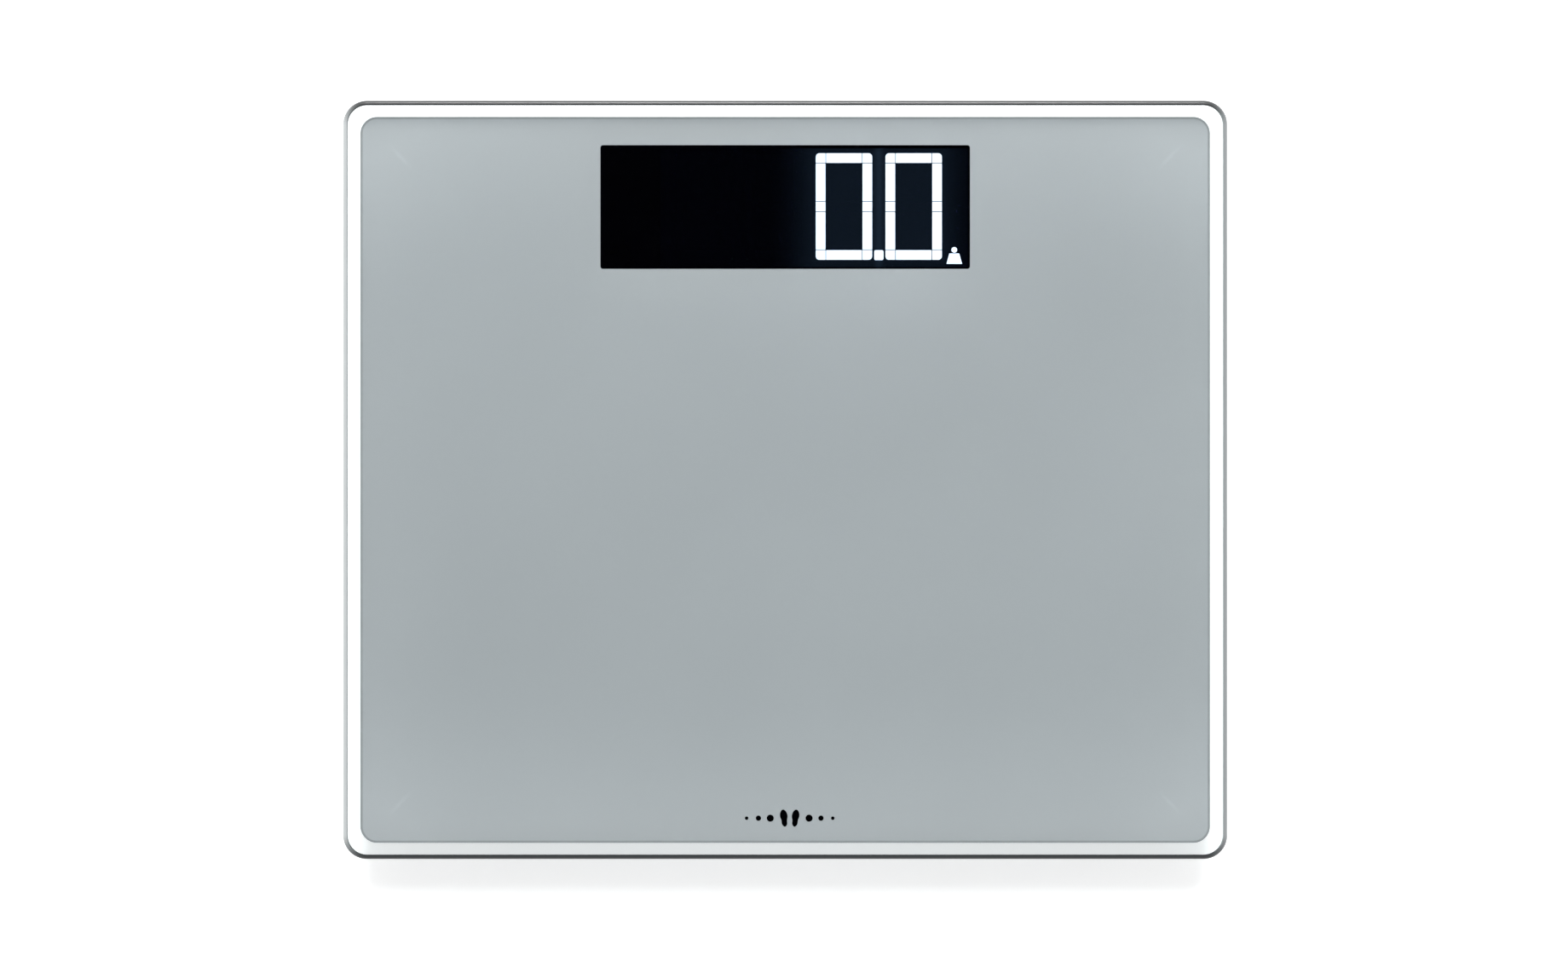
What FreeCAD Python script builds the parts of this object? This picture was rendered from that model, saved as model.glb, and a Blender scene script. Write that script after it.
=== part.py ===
import FreeCAD, Part
import math
import os

import Sketcher

# A digital bathroom scale: a glass platform on four weighing feet, with an electronics housing under the display.
# The origin is on the floor under the middle of the glass. +X is to the user's right, +Y is towards the
# display edge, +Z is up. Sizes are in millimetres.

vector = FreeCAD.Vector
document = FreeCAD.newDocument("bathroom_scale")
sheet = document.addObject("Spreadsheet::Sheet", "dims")

sizes = [
    # the glass
    ("glass_wide", 373, "glass platform, side to side"),
    ("glass_deep", 320, "glass platform, front to rear"),
    ("glass_thick", 6, "tempered glass"),
    ("glass_corner", 10, "radius of the glass corners"),
    ("glass_bevel", 1, "ground bevel round both faces"),
    ("glass_under", 18, "height of the underside of the glass"),
    ("bond_thick", 0.5, "adhesive tape and pads under the glass"),
    # the feet
    ("foot_x", 150, "foot centre from the middle, sideways"),
    ("foot_y", 124, "foot centre from the middle, front to rear"),
    ("carrier_across", 56, "foot carrier, outer diameter"),
    ("carrier_wall", 1.8, "skirt of the foot carrier"),
    ("carrier_plate", 2, "top plate of the foot carrier"),
    ("carrier_bottom", 8, "lower edge of the skirt"),
    ("lip_thick", 1.4, "height of the lip that keeps the foot in"),
    ("lip_inside", 24.6, "inner radius of that lip"),
    ("cell_wide", 33, "load cell, square"),
    ("cell_thick", 2.5, "load cell plate"),
    ("cell_corner", 5, "radius of the load cell corners"),
    ("cell_under", 10, "height of the underside of the load cells"),
    ("tongue_wide", 12, "tongue of the load cell"),
    ("tongue_root", 9, "tongue root, from the cell centre"),
    ("tongue_tip", 12, "tongue tip, from the cell centre"),
    ("cell_slot", 2, "slot round the tongue"),
    ("cell_screw_x", 12.25, "load cell screws from the centre"),
    ("cap_across", 48, "foot cap, outer diameter"),
    ("cap_wall", 1.4, "wall of the foot cap"),
    ("cap_bottom", 1.6, "lower rim of the foot cap"),
    ("cap_plate", 2, "plate of the foot cap"),
    ("cap_top", 10.8, "top of the foot cap wall"),
    ("hook_reach", 25.4, "outer radius of the foot cap hooks"),
    ("hook_thick", 1, "height of a hook"),
    ("boss_across", 10, "boss that presses on the tongue"),
    ("pad_across", 42, "rubber foot pad"),
    ("pad_thick", 3.2, "rubber foot pad"),
    ("pad_bevel", 0.6, "lower edge of the foot pad and of the foot cap"),
    ("inner_groove", 6, "inner ring groove of the pad, inner radius"),
    ("outer_groove", 11, "outer ring groove of the pad, inner radius"),
    ("groove_wide", 1.4, "ring grooves of the pad"),
    ("groove_deep", 0.8, "ring grooves of the pad"),
    ("bond_pad_across", 50, "adhesive pad over a foot carrier"),
    # the housing
    ("housing_wide", 180, "electronics housing, side to side"),
    ("housing_deep", 116, "electronics housing, front to rear"),
    ("housing_mid", 92, "housing centre from the middle of the glass"),
    ("housing_corner", 8, "radius of the housing corners"),
    ("housing_wall", 2, "side walls of the housing"),
    ("housing_roof", 1.5, "top wall of the housing"),
    ("cover_under", 3.5, "height of the underside of the rear cover"),
    ("cover_thick", 2, "floor of the rear cover"),
    ("rim_high", 2, "locating rim and screw pads of the cover"),
    ("screw_inset", 7, "cover screws from the housing's sides"),
    ("cover_boss", 6, "bosses for the cover screws"),
    ("cover_pad", 8, "pads of the cover round its screws"),
    ("cover_pilot", 2.6, "pilot holes for the cover screws"),
    ("cover_hole", 3, "holes in the cover for its screws"),
    ("cover_sink", 5.4, "counterbores for the heads of the cover screws"),
    ("sink_deep", 2.2, "counterbores for the heads of the cover screws"),
    ("cover_head", 5, "head of a cover screw"),
    ("cover_shank", 2.5, "shank of a cover screw"),
    ("board_boss", 5, "bosses for the main board screws"),
    ("board_pilot", 2.1, "pilot holes for the main board screws"),
    ("board_hole", 2.2, "holes in the boards for their screws"),
    ("board_head", 4, "head of a board screw"),
    ("board_head_thick", 1.2, "head of a board screw"),
    ("board_shank", 2, "shank of a board screw"),
    ("post_across", 4, "posts under the LED board"),
    ("notch_wide", 6, "notches in the housing for the leads"),
    ("notch_high", 2.6, "notches in the housing for the leads"),
    # the display
    ("window_mid", 115, "display centre from the middle of the glass"),
    ("film_wide", 158, "smoked film, side to side"),
    ("film_deep", 55, "smoked film, front to rear"),
    ("film_thick", 0.3, "smoked film"),
    ("film_corner", 1.5, "radius of the film corners"),
    ("film_gap", 1, "gap between the film and the tape round it"),
    ("digit_wide", 24.1, "one digit"),
    ("digit_high", 45.3, "one digit"),
    ("digit_shift", 0.55, "digits, to the rear of the display centre"),
    ("digit_pitch", 29.45, "from one digit to the next"),
    ("digit_last", 54.3, "centre of the last digit"),
    ("stroke", 4.35, "width of a segment"),
    ("seam", 0.3, "wall between two segments"),
    ("reflector_left", -55, "left end of the reflector block"),
    ("reflector_right", 79.5, "right end of the reflector block"),
    ("reflector_deep", 54.6, "reflector block, front to rear"),
    ("reflector_step", 2, "ledge of the block under the housing roof"),
    ("reflector_top", 17.3, "height of the top of the block"),
    ("post_inset", 9, "posts under the LED board, from the ends of the reflector"),
    ("diffuser_thick", 0.8, "milky diffusers"),
    ("led_board_under", 7.4, "height of the underside of the LED board"),
    ("board_thick", 1.6, "both circuit boards"),
    # the header pins and the chips
    ("pin_first", 4, "first header pin"),
    ("pin_pitch", 2, "from one header pin to the next"),
    ("pin_across", 0.7, "header pins"),
    ("pin_hole", 0.76, "holes in both boards for the header pins"),
    ("pin_past", 0.8, "header pins beyond the boards"),
    ("chip_x", 36, "weighing chip"),
    ("chip_y", 66, "weighing chip"),
    ("chip_wide", 10, "case of the weighing chip"),
    ("chip_thick", 1.4, "case of the weighing chip"),
    ("chip_gap", 0.1, "gap between the weighing chip and the board"),
    ("chip_pitch", 0.8, "from one chip pin to the next"),
    ("chip_pin_long", 1.4, "pin of the weighing chip"),
    ("chip_pin_wide", 0.35, "pin of the weighing chip"),
    ("low_part", 0.5, "height of the resistors and of the chip's pins"),
    ("plug_long", 7.2, "connector of a lead, across the wires"),
    ("plug_deep", 6, "connector of a lead, along the wires"),
    ("plug_high", 5, "connector of a lead"),
    # the main board, the button and the battery bay
    ("board_left", -26, "left edge of the main board"),
    ("board_right", 78, "right edge of the main board"),
    ("board_front", 38, "front edge of the main board"),
    ("board_rear", 87, "rear edge of the main board"),
    ("button_x", 30, "unit button"),
    ("button_y", 60, "unit button"),
    ("button_across", 8.4, "unit button"),
    ("button_travel", 0.8, "travel of the unit button"),
    ("button_gap", 0.05, "gap between the button flange and the cover"),
    ("flange_thick", 0.5, "flange that keeps the button in"),
    ("flange_reach", 1.1, "flange beyond the button"),
    ("press_gap", 0.02, "gap left between the pressed button and the plunger"),
    ("plunger_high", 0.35, "plunger of the switch"),
    ("plunger_across", 3.2, "plunger of the switch"),
    ("switch_wide", 6, "case of the switch"),
    ("bay_left", -84.6, "inside of the battery bay"),
    ("bay_long", 49.5, "inside of the battery bay, along the cells"),
    ("bay_mid", 60, "battery bay centre, front to rear"),
    ("bay_wide", 44.6, "inside of the battery bay, across the cells"),
    ("bay_wall", 1.2, "walls of the battery bay"),
    ("battery_long", 44.5, "AAA cell with its nub"),
    ("battery_across", 10.5, "AAA cell"),
    ("battery_pitch", 11, "from one cell to the next"),
    ("battery_z", 10.6, "height of the cell axes"),
    ("contact_thick", 0.4, "contact plates"),
    ("contact_wide", 8.5, "contact plates, across one cell"),
    ("spring_wire", 0.5, "contact springs"),
    ("spring_radius", 3, "contact springs, to the middle of the wire"),
    ("spring_gap", 0.3, "contact springs, clear of the plate and of the cell"),
    ("door_gap", 0.3, "gap round the battery door"),
    ("door_thick", 1.5, "battery door"),
    ("door_under", 3.6, "height of the underside of the door"),
    ("ledge", 0.8, "ledge over the edge of the door"),
    ("hinge_pin", 1.2, "hinge pins of the door"),
    # the leads
    ("lead_across", 1.2, "one insulated wire"),
    ("lead_step", 1.6, "from one wire to the next"),
    ("lead_z", 13.9, "height of the leads"),
    ("lead_bend", 3.2, "radius of a lead where its channel turns"),
    ("channel_wide", 8, "cable channel"),
    ("channel_under", 12.2, "height of the underside of the cable channels"),
    ("channel_wall", 1, "cable channel"),
]

for row, (name, value, meaning) in enumerate(sizes, start=1):
    sheet.set(f"A{row}", name)
    sheet.set(f"B{row}", str(value))
    sheet.set(f"C{row}", meaning)
    sheet.setAlias(f"B{row}", name)
document.recompute()

nodes = []


def number(size):
    return float(sheet.evalExpression(str(size)))


# Outlines. Each gives its curves and the rules that hold them, and each size is a formula on the sheet.


def rule(kind, *where, size=None):
    values = () if size is None else (number(size),)
    return Sketcher.Constraint(kind, *where, *values), size


def at(first, point, x, y):
    return [
        rule("DistanceX", -1, 1, first, point, size=x),
        rule("DistanceY", -1, 1, first, point, size=y),
    ]


def polygon(*points):
    corners = [vector(number(x), number(y), 0) for x, y in points]
    count = len(corners)
    curves = [Part.LineSegment(corners[i], corners[(i + 1) % count]) for i in range(count)]

    def rules(first):
        found = []
        for i, (x, y) in enumerate(points):
            found.append(rule("Coincident", first + i, 2, first + (i + 1) % count, 1))
            found += at(first + i, 1, x, y)
        return found

    return curves, rules


def rectangle(x, y, wide, deep):
    left, right = f"{x} - ({wide}) / 2", f"{x} + ({wide}) / 2"
    front, rear = f"{y} - ({deep}) / 2", f"{y} + ({deep}) / 2"
    return polygon((left, front), (right, front), (right, rear), (left, rear))


def rounded(x, y, wide, deep, corner):
    middle = vector(number(x), number(y), 0)
    half_x, half_y, radius = number(wide) / 2, number(deep) / 2, number(corner)
    in_x, in_y = half_x - radius, half_y - radius
    corners = [vector(in_x, -in_y), vector(in_x, in_y), vector(-in_x, in_y), vector(-in_x, -in_y)]
    out = [vector(0, -radius), vector(radius, 0), vector(0, radius), vector(-radius, 0)]
    curves = []
    for i in range(4):
        start, end = corners[i - 1] + out[i], corners[i] + out[i]
        curves.append(Part.LineSegment(middle + start, middle + end))
    for i in range(4):
        circle_here = Part.Circle(middle + corners[i], vector(0, 0, 1), radius)
        curves.append(Part.ArcOfCircle(circle_here, (i - 1) * math.pi / 2, i * math.pi / 2))

    def rules(first):
        found = []
        for i in range(4):
            found.append(rule("Tangent", first + i, 2, first + 4 + i, 1))
            found.append(rule("Tangent", first + 4 + i, 2, first + (i + 1) % 4, 1))
        for i in range(2):
            found.append(rule("Horizontal", first + 2 * i))
            found.append(rule("Vertical", first + 2 * i + 1))
        for i in range(3):
            found.append(rule("Equal", first + 4 + i, first + 5 + i))
        found.append(rule("Radius", first + 4, size=corner))
        reach_x, reach_y = f"(({wide}) / 2 - ({corner}))", f"(({deep}) / 2 - ({corner}))"
        found += at(first + 4, 3, f"{x} + {reach_x}", f"{y} - {reach_y}")
        found += at(first + 6, 3, f"{x} - {reach_x}", f"{y} + {reach_y}")
        return found

    return curves, rules


def circle(x, y, across):
    middle = vector(number(x), number(y), 0)
    curves = [Part.Circle(middle, vector(0, 0, 1), number(across) / 2)]

    def rules(first):
        return [rule("Diameter", first, size=across)] + at(first, 3, x, y)

    return curves, rules


def draw(body, name, role, offset, outlines):
    sketch = body.newObject("Sketcher::SketchObject", f"{body.Name}_{name}")
    plane = next(o for o in body.Origin.OriginFeatures if o.Role == role)
    sketch.AttachmentSupport = [(plane, "")]
    sketch.MapMode = "FlatFace"
    sketch.setExpression("AttachmentOffset.Base.z", str(offset))
    geometry, constraints = [], []
    for curves, rules in outlines:
        constraints += rules(len(geometry))
        geometry += curves
    sketch.addGeometry(geometry)
    sketch.addConstraint([constraint for constraint, size in constraints])
    for i, (constraint, size) in enumerate(constraints):
        if size is not None:
            sketch.setExpression(f"Constraints[{i}]", size)
    return sketch


# Features.


def new_body(name):
    body = document.addObject("PartDesign::Body", name)
    body.Label = name
    body.AllowCompound = True
    nodes.append(body)
    return body


def raised(body, name, bottom, height, *outlines):
    # a pad from the level bottom upwards
    sketch = draw(body, name, "XY_Plane", bottom, outlines)
    pad = body.newObject("PartDesign::Pad", sketch.Name + "_pad")
    pad.Profile = sketch
    pad.setExpression("Length", str(height))
    return pad


def cut(body, name, top, depth, *outlines):
    # a pocket from the level top downwards
    sketch = draw(body, name, "XY_Plane", top, outlines)
    pocket = body.newObject("PartDesign::Pocket", sketch.Name + "_pocket")
    pocket.Profile = sketch
    pocket.setExpression("Length", str(depth))
    return pocket


def across_y(body, name, kind, middle, length, *outlines):
    # a pad or pocket along Y, the same length each side of middle
    sketch = draw(body, name, "XZ_Plane", f"-({middle})", outlines)
    feature = body.newObject(f"PartDesign::{kind}", f"{sketch.Name}_{kind.lower()}")
    feature.Profile = sketch
    feature.Midplane = True
    feature.setExpression("Length", str(length))
    return feature


def turned(body, name, *points):
    # a revolution about Z of an outline given as radius and height
    sketch = draw(body, name, "XZ_Plane", 0, [polygon(*points)])
    revolution = body.newObject("PartDesign::Revolution", sketch.Name + "_turned")
    revolution.Profile = sketch
    revolution.ReferenceAxis = (sketch, ["V_Axis"])
    revolution.Angle = 360
    return revolution


def bevelled(body, feature, size, heights):
    # a chamfer on the level edges at the given heights
    document.recompute()
    levels = [number(height) for height in heights]
    names = []
    for i, edge in enumerate(feature.Shape.Edges, start=1):
        box = edge.BoundBox
        level = any(abs(box.ZMin - z) < 1e-6 and abs(box.ZMax - z) < 1e-6 for z in levels)
        if level:
            names.append(f"Edge{i}")
    chamfer = body.newObject("PartDesign::Chamfer", f"{body.Name}_bevel")
    chamfer.Base = (feature, names)
    chamfer.setExpression("Size", str(size))
    return chamfer


def move(body, x, y, z=0, turn=0):
    body.Placement = FreeCAD.Placement(vector(), FreeCAD.Rotation(vector(0, 0, 1), turn))
    body.setExpression("Placement.Base.x", str(x))
    body.setExpression("Placement.Base.y", str(y))
    body.setExpression("Placement.Base.z", str(z))


def screws(name, places, head_under, head_thick, head_across, shank_across, shank_long):
    # cross-head screws with the head down, all in one node
    body = new_body(name)
    raised(body, "heads", head_under, head_thick, *[circle(x, y, head_across) for x, y in places])
    shank_under = f"{head_under} + {head_thick}"
    raised(body, "shanks", shank_under, shank_long, *[circle(x, y, shank_across) for x, y in places])
    long, narrow, deep = f"({head_across}) * 0.56", f"({head_across}) * 0.16", f"({head_thick}) * 0.6"
    top = f"{head_under} + {deep}"
    cut(body, "recess_a", top, deep, *[rectangle(x, y, long, narrow) for x, y in places])
    cut(body, "recess_b", top, deep, *[rectangle(x, y, narrow, long) for x, y in places])
    return body


# Levels that several pieces share.

bond_under = "dims.glass_under - dims.bond_thick"
roof_under = f"({bond_under} - dims.housing_roof)"
cover_top = "dims.cover_under + dims.cover_thick"
rim_top = f"{cover_top} + dims.rim_high"
led_board_top = "dims.led_board_under + dims.board_thick"
main_board_under = led_board_top
main_board_top = f"{main_board_under} + dims.board_thick"
carrier_ceiling = f"({bond_under} - dims.carrier_plate)"
cell_top = "dims.cell_under + dims.cell_thick"

# Places under the housing, as pairs of X and Y.

side_x = "(dims.housing_wide / 2 - dims.screw_inset)"
rear_y = "(dims.housing_mid + dims.housing_deep / 2 - dims.screw_inset)"
front_y = "(dims.housing_mid - dims.housing_deep / 2 + dims.screw_inset + 1)"
cover_screw_places = [
    (f"-{side_x}", rear_y),
    (side_x, rear_y),
    (f"-{side_x}", "88"),
    (side_x, "88"),
    (side_x, front_y),
    ("dims.board_left - 4", front_y),
]
main_screw_places = [
    ("dims.board_left + 6", "dims.board_rear - 7"),
    ("dims.board_right - 18", "dims.board_rear - 7"),
    ("dims.board_right - 38", "dims.board_front + 4"),
]


def digit_x(index):
    # digit 0 is the last one
    return f"(dims.digit_last - {index} * dims.digit_pitch)"


display_screw_places = [
    (f"({digit_x(gap)} + {digit_x(gap + 1)}) / 2", f"dims.window_mid + {side * 10}")
    for gap in (0, 2)
    for side in (-1, 1)
]

# The four feet: name, side to side, front to rear, and the turn that points the cell's lead at the housing.

corners = [
    ("front_left", -1, -1, 180),
    ("front_right", 1, -1, 180),
    ("rear_left", -1, 1, 0),
    ("rear_right", 1, 1, 0),
]


def glass_platform():
    body = new_body("glass_platform")
    outline = rounded("0", "0", "dims.glass_wide", "dims.glass_deep", "dims.glass_corner")
    plate = raised(body, "outline", "dims.glass_under", "dims.glass_thick", outline)
    levels = ["dims.glass_under", "dims.glass_under + dims.glass_thick"]
    bevelled(body, plate, "dims.glass_bevel", levels)


def housing_outline(inset):
    wide, deep = f"dims.housing_wide - 2 * {inset}", f"dims.housing_deep - 2 * {inset}"
    return rounded("0", "dims.housing_mid", wide, deep, f"dims.housing_corner - {inset}")


def housing_bond_tape():
    body = new_body("housing_bond_tape")
    wide, deep = "dims.film_wide + 2 * dims.film_gap", "dims.film_deep + 2 * dims.film_gap"
    window = rounded("0", "dims.window_mid", wide, deep, "2")
    raised(body, "ring", bond_under, "dims.bond_thick", housing_outline("1"), window)


def display_housing():
    body = new_body("display_housing")
    raised(body, "outline", cover_top, f"{bond_under} - ({cover_top})", housing_outline("0"))
    cut(body, "inside", roof_under, f"{roof_under} - ({cover_top})", housing_outline("dims.housing_wall"))
    boss_under = rim_top
    bosses = [circle(x, y, "dims.cover_boss") for x, y in cover_screw_places]
    raised(body, "cover_bosses", boss_under, f"{roof_under} - ({boss_under})", *bosses)
    bosses = [circle(x, y, "dims.board_boss") for x, y in main_screw_places]
    raised(body, "board_bosses", main_board_top, f"{roof_under} - ({main_board_top})", *bosses)
    pilot_top = f"{roof_under} - 1"
    holes = [circle(x, y, "dims.cover_pilot") for x, y in cover_screw_places]
    cut(body, "cover_pilots", pilot_top, f"{pilot_top} - ({boss_under})", *holes)
    holes = [circle(x, y, "dims.board_pilot") for x, y in main_screw_places]
    cut(body, "board_pilots", pilot_top, f"{pilot_top} - ({main_board_top})", *holes)
    middle = "(dims.reflector_left + dims.reflector_right) / 2"
    wide = "dims.reflector_right - dims.reflector_left - 2 * dims.reflector_step + 0.4"
    deep = "dims.reflector_deep - 2 * dims.reflector_step + 0.4"
    opening = rectangle(middle, "dims.window_mid", wide, deep)
    cut(body, "display_opening", bond_under, "dims.housing_roof", opening)
    notches = [rectangle(x, y, "dims.notch_wide", "dims.notch_wide") for x, y in lead_entries()]
    cut(body, "lead_notches", "dims.lead_z + dims.notch_high / 2", "dims.notch_high", *notches)


def rear_cover():
    body = new_body("rear_cover")
    floor = raised(body, "floor", "dims.cover_under", "dims.cover_thick", housing_outline("0"))
    bevelled(body, floor, "1", ["dims.cover_under"])
    inset = "(dims.housing_wall + 0.2)"
    raised(body, "rim", cover_top, "dims.rim_high", housing_outline(inset), housing_outline(f"({inset} + 1.2)"))
    pads = [circle(x, y, "dims.cover_pad") for x, y in cover_screw_places]
    raised(body, "screw_pads", cover_top, "dims.rim_high", *pads)
    post_x = ("dims.reflector_left + dims.post_inset", "dims.reflector_right - dims.post_inset")
    posts = [(x, f"dims.window_mid + {y}") for x in post_x for y in (-15, 20)]
    height = f"dims.led_board_under - ({cover_top})"
    raised(body, "board_posts", cover_top, height, *[circle(x, y, "dims.post_across") for x, y in posts])
    bay_x = "(dims.bay_left + dims.bay_long / 2)"
    walls_high = f"{roof_under} - 0.1 - ({cover_top})"
    outer_long, outer_wide = "dims.bay_long + 2 * dims.bay_wall", "dims.bay_wide + 2 * dims.bay_wall"
    walls = rounded(bay_x, "dims.bay_mid", outer_long, outer_wide, "2.5")
    raised(body, "bay_walls", cover_top, walls_high, walls)
    inside = rectangle(bay_x, "dims.bay_mid", "dims.bay_long", "dims.bay_wide")
    cut(body, "bay_inside", f"{roof_under}", f"{roof_under} - dims.cover_under", inside)
    ledge = "dims.door_under + dims.door_thick + 0.2"
    long, wide = "dims.bay_long + 2 * dims.ledge", "dims.bay_wide + 2 * dims.ledge"
    opening = rectangle(bay_x, "dims.bay_mid", long, wide)
    cut(body, "door_opening", ledge, f"{ledge} - dims.cover_under", opening)
    heads = [circle(x, y, "dims.cover_sink") for x, y in cover_screw_places]
    cut(body, "screw_heads", "dims.cover_under + dims.sink_deep", "dims.sink_deep", *heads)
    holes = [circle(x, y, "dims.cover_hole") for x, y in cover_screw_places]
    cut(body, "screw_holes", rim_top, f"{rim_top} - dims.cover_under", *holes)
    button_hole = circle("dims.button_x", "dims.button_y", "dims.button_across + 0.4")
    cut(body, "button_hole", cover_top, "dims.cover_thick", button_hole)
    pins = circle(hinge_x(), hinge_z(), "dims.hinge_pin + 0.1")
    across_y(body, "pin_holes", "Pocket", "dims.bay_mid", "dims.bay_wide + 3", pins)
    lead_slots = [rectangle("dims.bay_left + dims.bay_long + 0.6", y, "3", "2") for y in battery_lead_y()]
    cut(body, "lead_slots", roof_under, "3", *lead_slots)


def hinge_x():
    # the hinge pins lie in the nose of the door, at the left end of the bay
    return "(dims.bay_left - dims.ledge + dims.door_gap + dims.door_thick / 2)"


def hinge_z():
    return "(dims.door_under + dims.door_thick / 2)"


def battery_door():
    body = new_body("battery_door")
    nose = circle(hinge_x(), hinge_z(), "dims.door_thick")
    width = "(dims.bay_wide + 2 * dims.ledge - 2 * dims.door_gap)"
    across_y(body, "nose", "Pad", "dims.bay_mid", width, nose)
    pins = circle(hinge_x(), hinge_z(), "dims.hinge_pin")
    across_y(body, "pins", "Pad", "dims.bay_mid", f"{width} + 1.8", pins)
    right = "(dims.bay_left + dims.bay_long + dims.ledge - dims.door_gap)"
    plate = rectangle(f"({hinge_x()} + {right}) / 2", "dims.bay_mid", f"{right} - {hinge_x()}", width)
    raised(body, "plate", "dims.door_under", "dims.door_thick", plate)
    door_top = "dims.door_under + dims.door_thick"
    hook = rectangle(f"{right} - 1.6", "dims.bay_mid", "0.8", "9")
    raised(body, "latch_hook", door_top, "1.4", hook)
    slits = [rectangle(f"{right} - 4", f"dims.bay_mid + {side * 6.5}", "8", "0.8") for side in (-1, 1)]
    cut(body, "latch_slits", door_top, "dims.door_thick", *slits)
    grips = [rectangle(f"{right} - {2 + 1.4 * i}", "dims.bay_mid", "0.6", "10") for i in range(4)]
    cut(body, "finger_grips", "dims.door_under + 0.4", "0.4", *grips)


def unit_button():
    body = new_body("unit_button")
    middle = ("dims.button_x", "dims.button_y")
    under = "dims.cover_under + 0.2"
    flange_under = f"{cover_top} + dims.button_gap"
    cap = raised(body, "cap", under, f"{flange_under} - ({under})", circle(*middle, "dims.button_across"))
    bevelled(body, cap, "0.4", [under])
    flange = circle(*middle, "dims.button_across + 2 * dims.flange_reach")
    raised(body, "flange", flange_under, "dims.flange_thick", flange)


def unit_switch():
    body = new_body("unit_switch")
    middle = ("dims.button_x", "dims.button_y")
    flange_top = f"{cover_top} + dims.button_gap + dims.flange_thick"
    plunger_under = f"{flange_top} + dims.button_travel + dims.press_gap"
    raised(body, "plunger", plunger_under, "dims.plunger_high", circle(*middle, "dims.plunger_across"))
    body_under = f"{plunger_under} + dims.plunger_high"
    case = rounded(*middle, "dims.switch_wide", "dims.switch_wide", "0.6")
    raised(body, "case", body_under, f"{main_board_under} - ({body_under})", case)


# The display.

# Each cell of a digit: column and row, counted from the middle. The middle of each side is a cell too.
digit_cells = [
    (column, row)
    for row in (-2, -1, 0, 1, 2)
    for column in (-1, 0, 1)
    if row % 2 == 0 or column != 0
]


def cell_outline(index, column, row, inset="0"):
    # the rectangle of one cell, smaller all round by half a seam and by inset
    upright = "((dims.digit_high - 3 * dims.stroke) / 2)"
    level = "(dims.digit_wide - 2 * dims.stroke)"
    x = f"{digit_x(index)} + {column} * (dims.digit_wide - dims.stroke) / 2"
    y = f"dims.window_mid + dims.digit_shift + {row} * (dims.digit_high - dims.stroke) / 4"
    wide = level if column == 0 else "dims.stroke"
    high = upright if row % 2 else "dims.stroke"
    less = f"(dims.seam + 2 * {inset})"
    return rectangle(x, y, f"{wide} - {less}", f"{high} - {less}")


def point_and_weight(inset="0"):
    # the decimal point, and the lit pictogram of a weight beside the last digit
    base = "(dims.window_mid + dims.digit_shift - dims.digit_high / 2)"
    point_x = f"({digit_x(0)} + {digit_x(1)}) / 2"
    point = rectangle(point_x, f"{base} + 2.1", f"3.9 - 2 * {inset}", f"4.2 - 2 * {inset}")
    weight_x = f"({digit_x(0)} + dims.digit_wide / 2 + 5.1)"
    foot, top = f"(3.3 - {inset})", f"(2.1 - {inset})"
    low, high = f"{base} - 1.6 + {inset}", f"{base} + 2.8 - {inset}"
    sides = [(f"{weight_x} - {foot}", low), (f"{weight_x} + {foot}", low)]
    sides += [(f"{weight_x} + {top}", high), (f"{weight_x} - {top}", high)]
    handle = circle(weight_x, f"{base} + 4.3", f"2.4 - 2 * {inset}")
    return [point, polygon(*sides), handle]


def display_reflector():
    body = new_body("display_reflector")
    middle = "(dims.reflector_left + dims.reflector_right) / 2"
    wide = "dims.reflector_right - dims.reflector_left"
    step_top = f"({roof_under} - 0.1)"
    block = rectangle(middle, "dims.window_mid", wide, "dims.reflector_deep")
    raised(body, "block", led_board_top, f"{step_top} - ({led_board_top})", block)
    less = "2 * dims.reflector_step"
    raised_block = rectangle(middle, "dims.window_mid", f"{wide} - {less}", f"dims.reflector_deep - {less}")
    raised(body, "raised", step_top, f"dims.reflector_top - {step_top}", raised_block)
    depth = f"dims.reflector_top - ({led_board_top})"
    for index in range(4):
        cells = [cell_outline(index, column, row) for column, row in digit_cells]
        cut(body, f"digit_{index}", "dims.reflector_top", depth, *cells)
    cut(body, "point_and_weight", "dims.reflector_top", depth, *point_and_weight())
    pilots = [circle(x, y, "2.04") for x, y in display_screw_places]
    cut(body, "pilots", f"{led_board_top} + 5", "5", *pilots)


def segment_diffusers():
    body = new_body("segment_diffusers")
    under = "dims.reflector_top - dims.diffuser_thick"
    for index in range(4):
        cells = [cell_outline(index, column, row, "0.02") for column, row in digit_cells]
        raised(body, f"digit_{index}", under, "dims.diffuser_thick", *cells)
    raised(body, "point_and_weight", under, "dims.diffuser_thick", *point_and_weight("0.02"))


def segment_leds():
    body = new_body("segment_leds")
    for index in range(4):
        places = []
        for column, row in digit_cells:
            x = f"{digit_x(index)} + {column} * (dims.digit_wide - dims.stroke) / 2"
            y = f"dims.window_mid + dims.digit_shift + {row} * (dims.digit_high - dims.stroke) / 4"
            upright = column != 0
            places.append(rectangle(x, y, "0.8" if upright else "1.6", "1.6" if upright else "0.8"))
        raised(body, f"digit_{index}", led_board_top, "0.6", *places)


def display_filter():
    body = new_body("display_filter")
    outline = rounded("0", "dims.window_mid", "dims.film_wide", "dims.film_deep", "dims.film_corner")
    raised(body, "film", bond_under, "dims.film_thick", outline)


def header_pin_places():
    return [(f"dims.pin_first + {i} * dims.pin_pitch", "dims.board_rear - 1.2") for i in range(14)]


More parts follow.
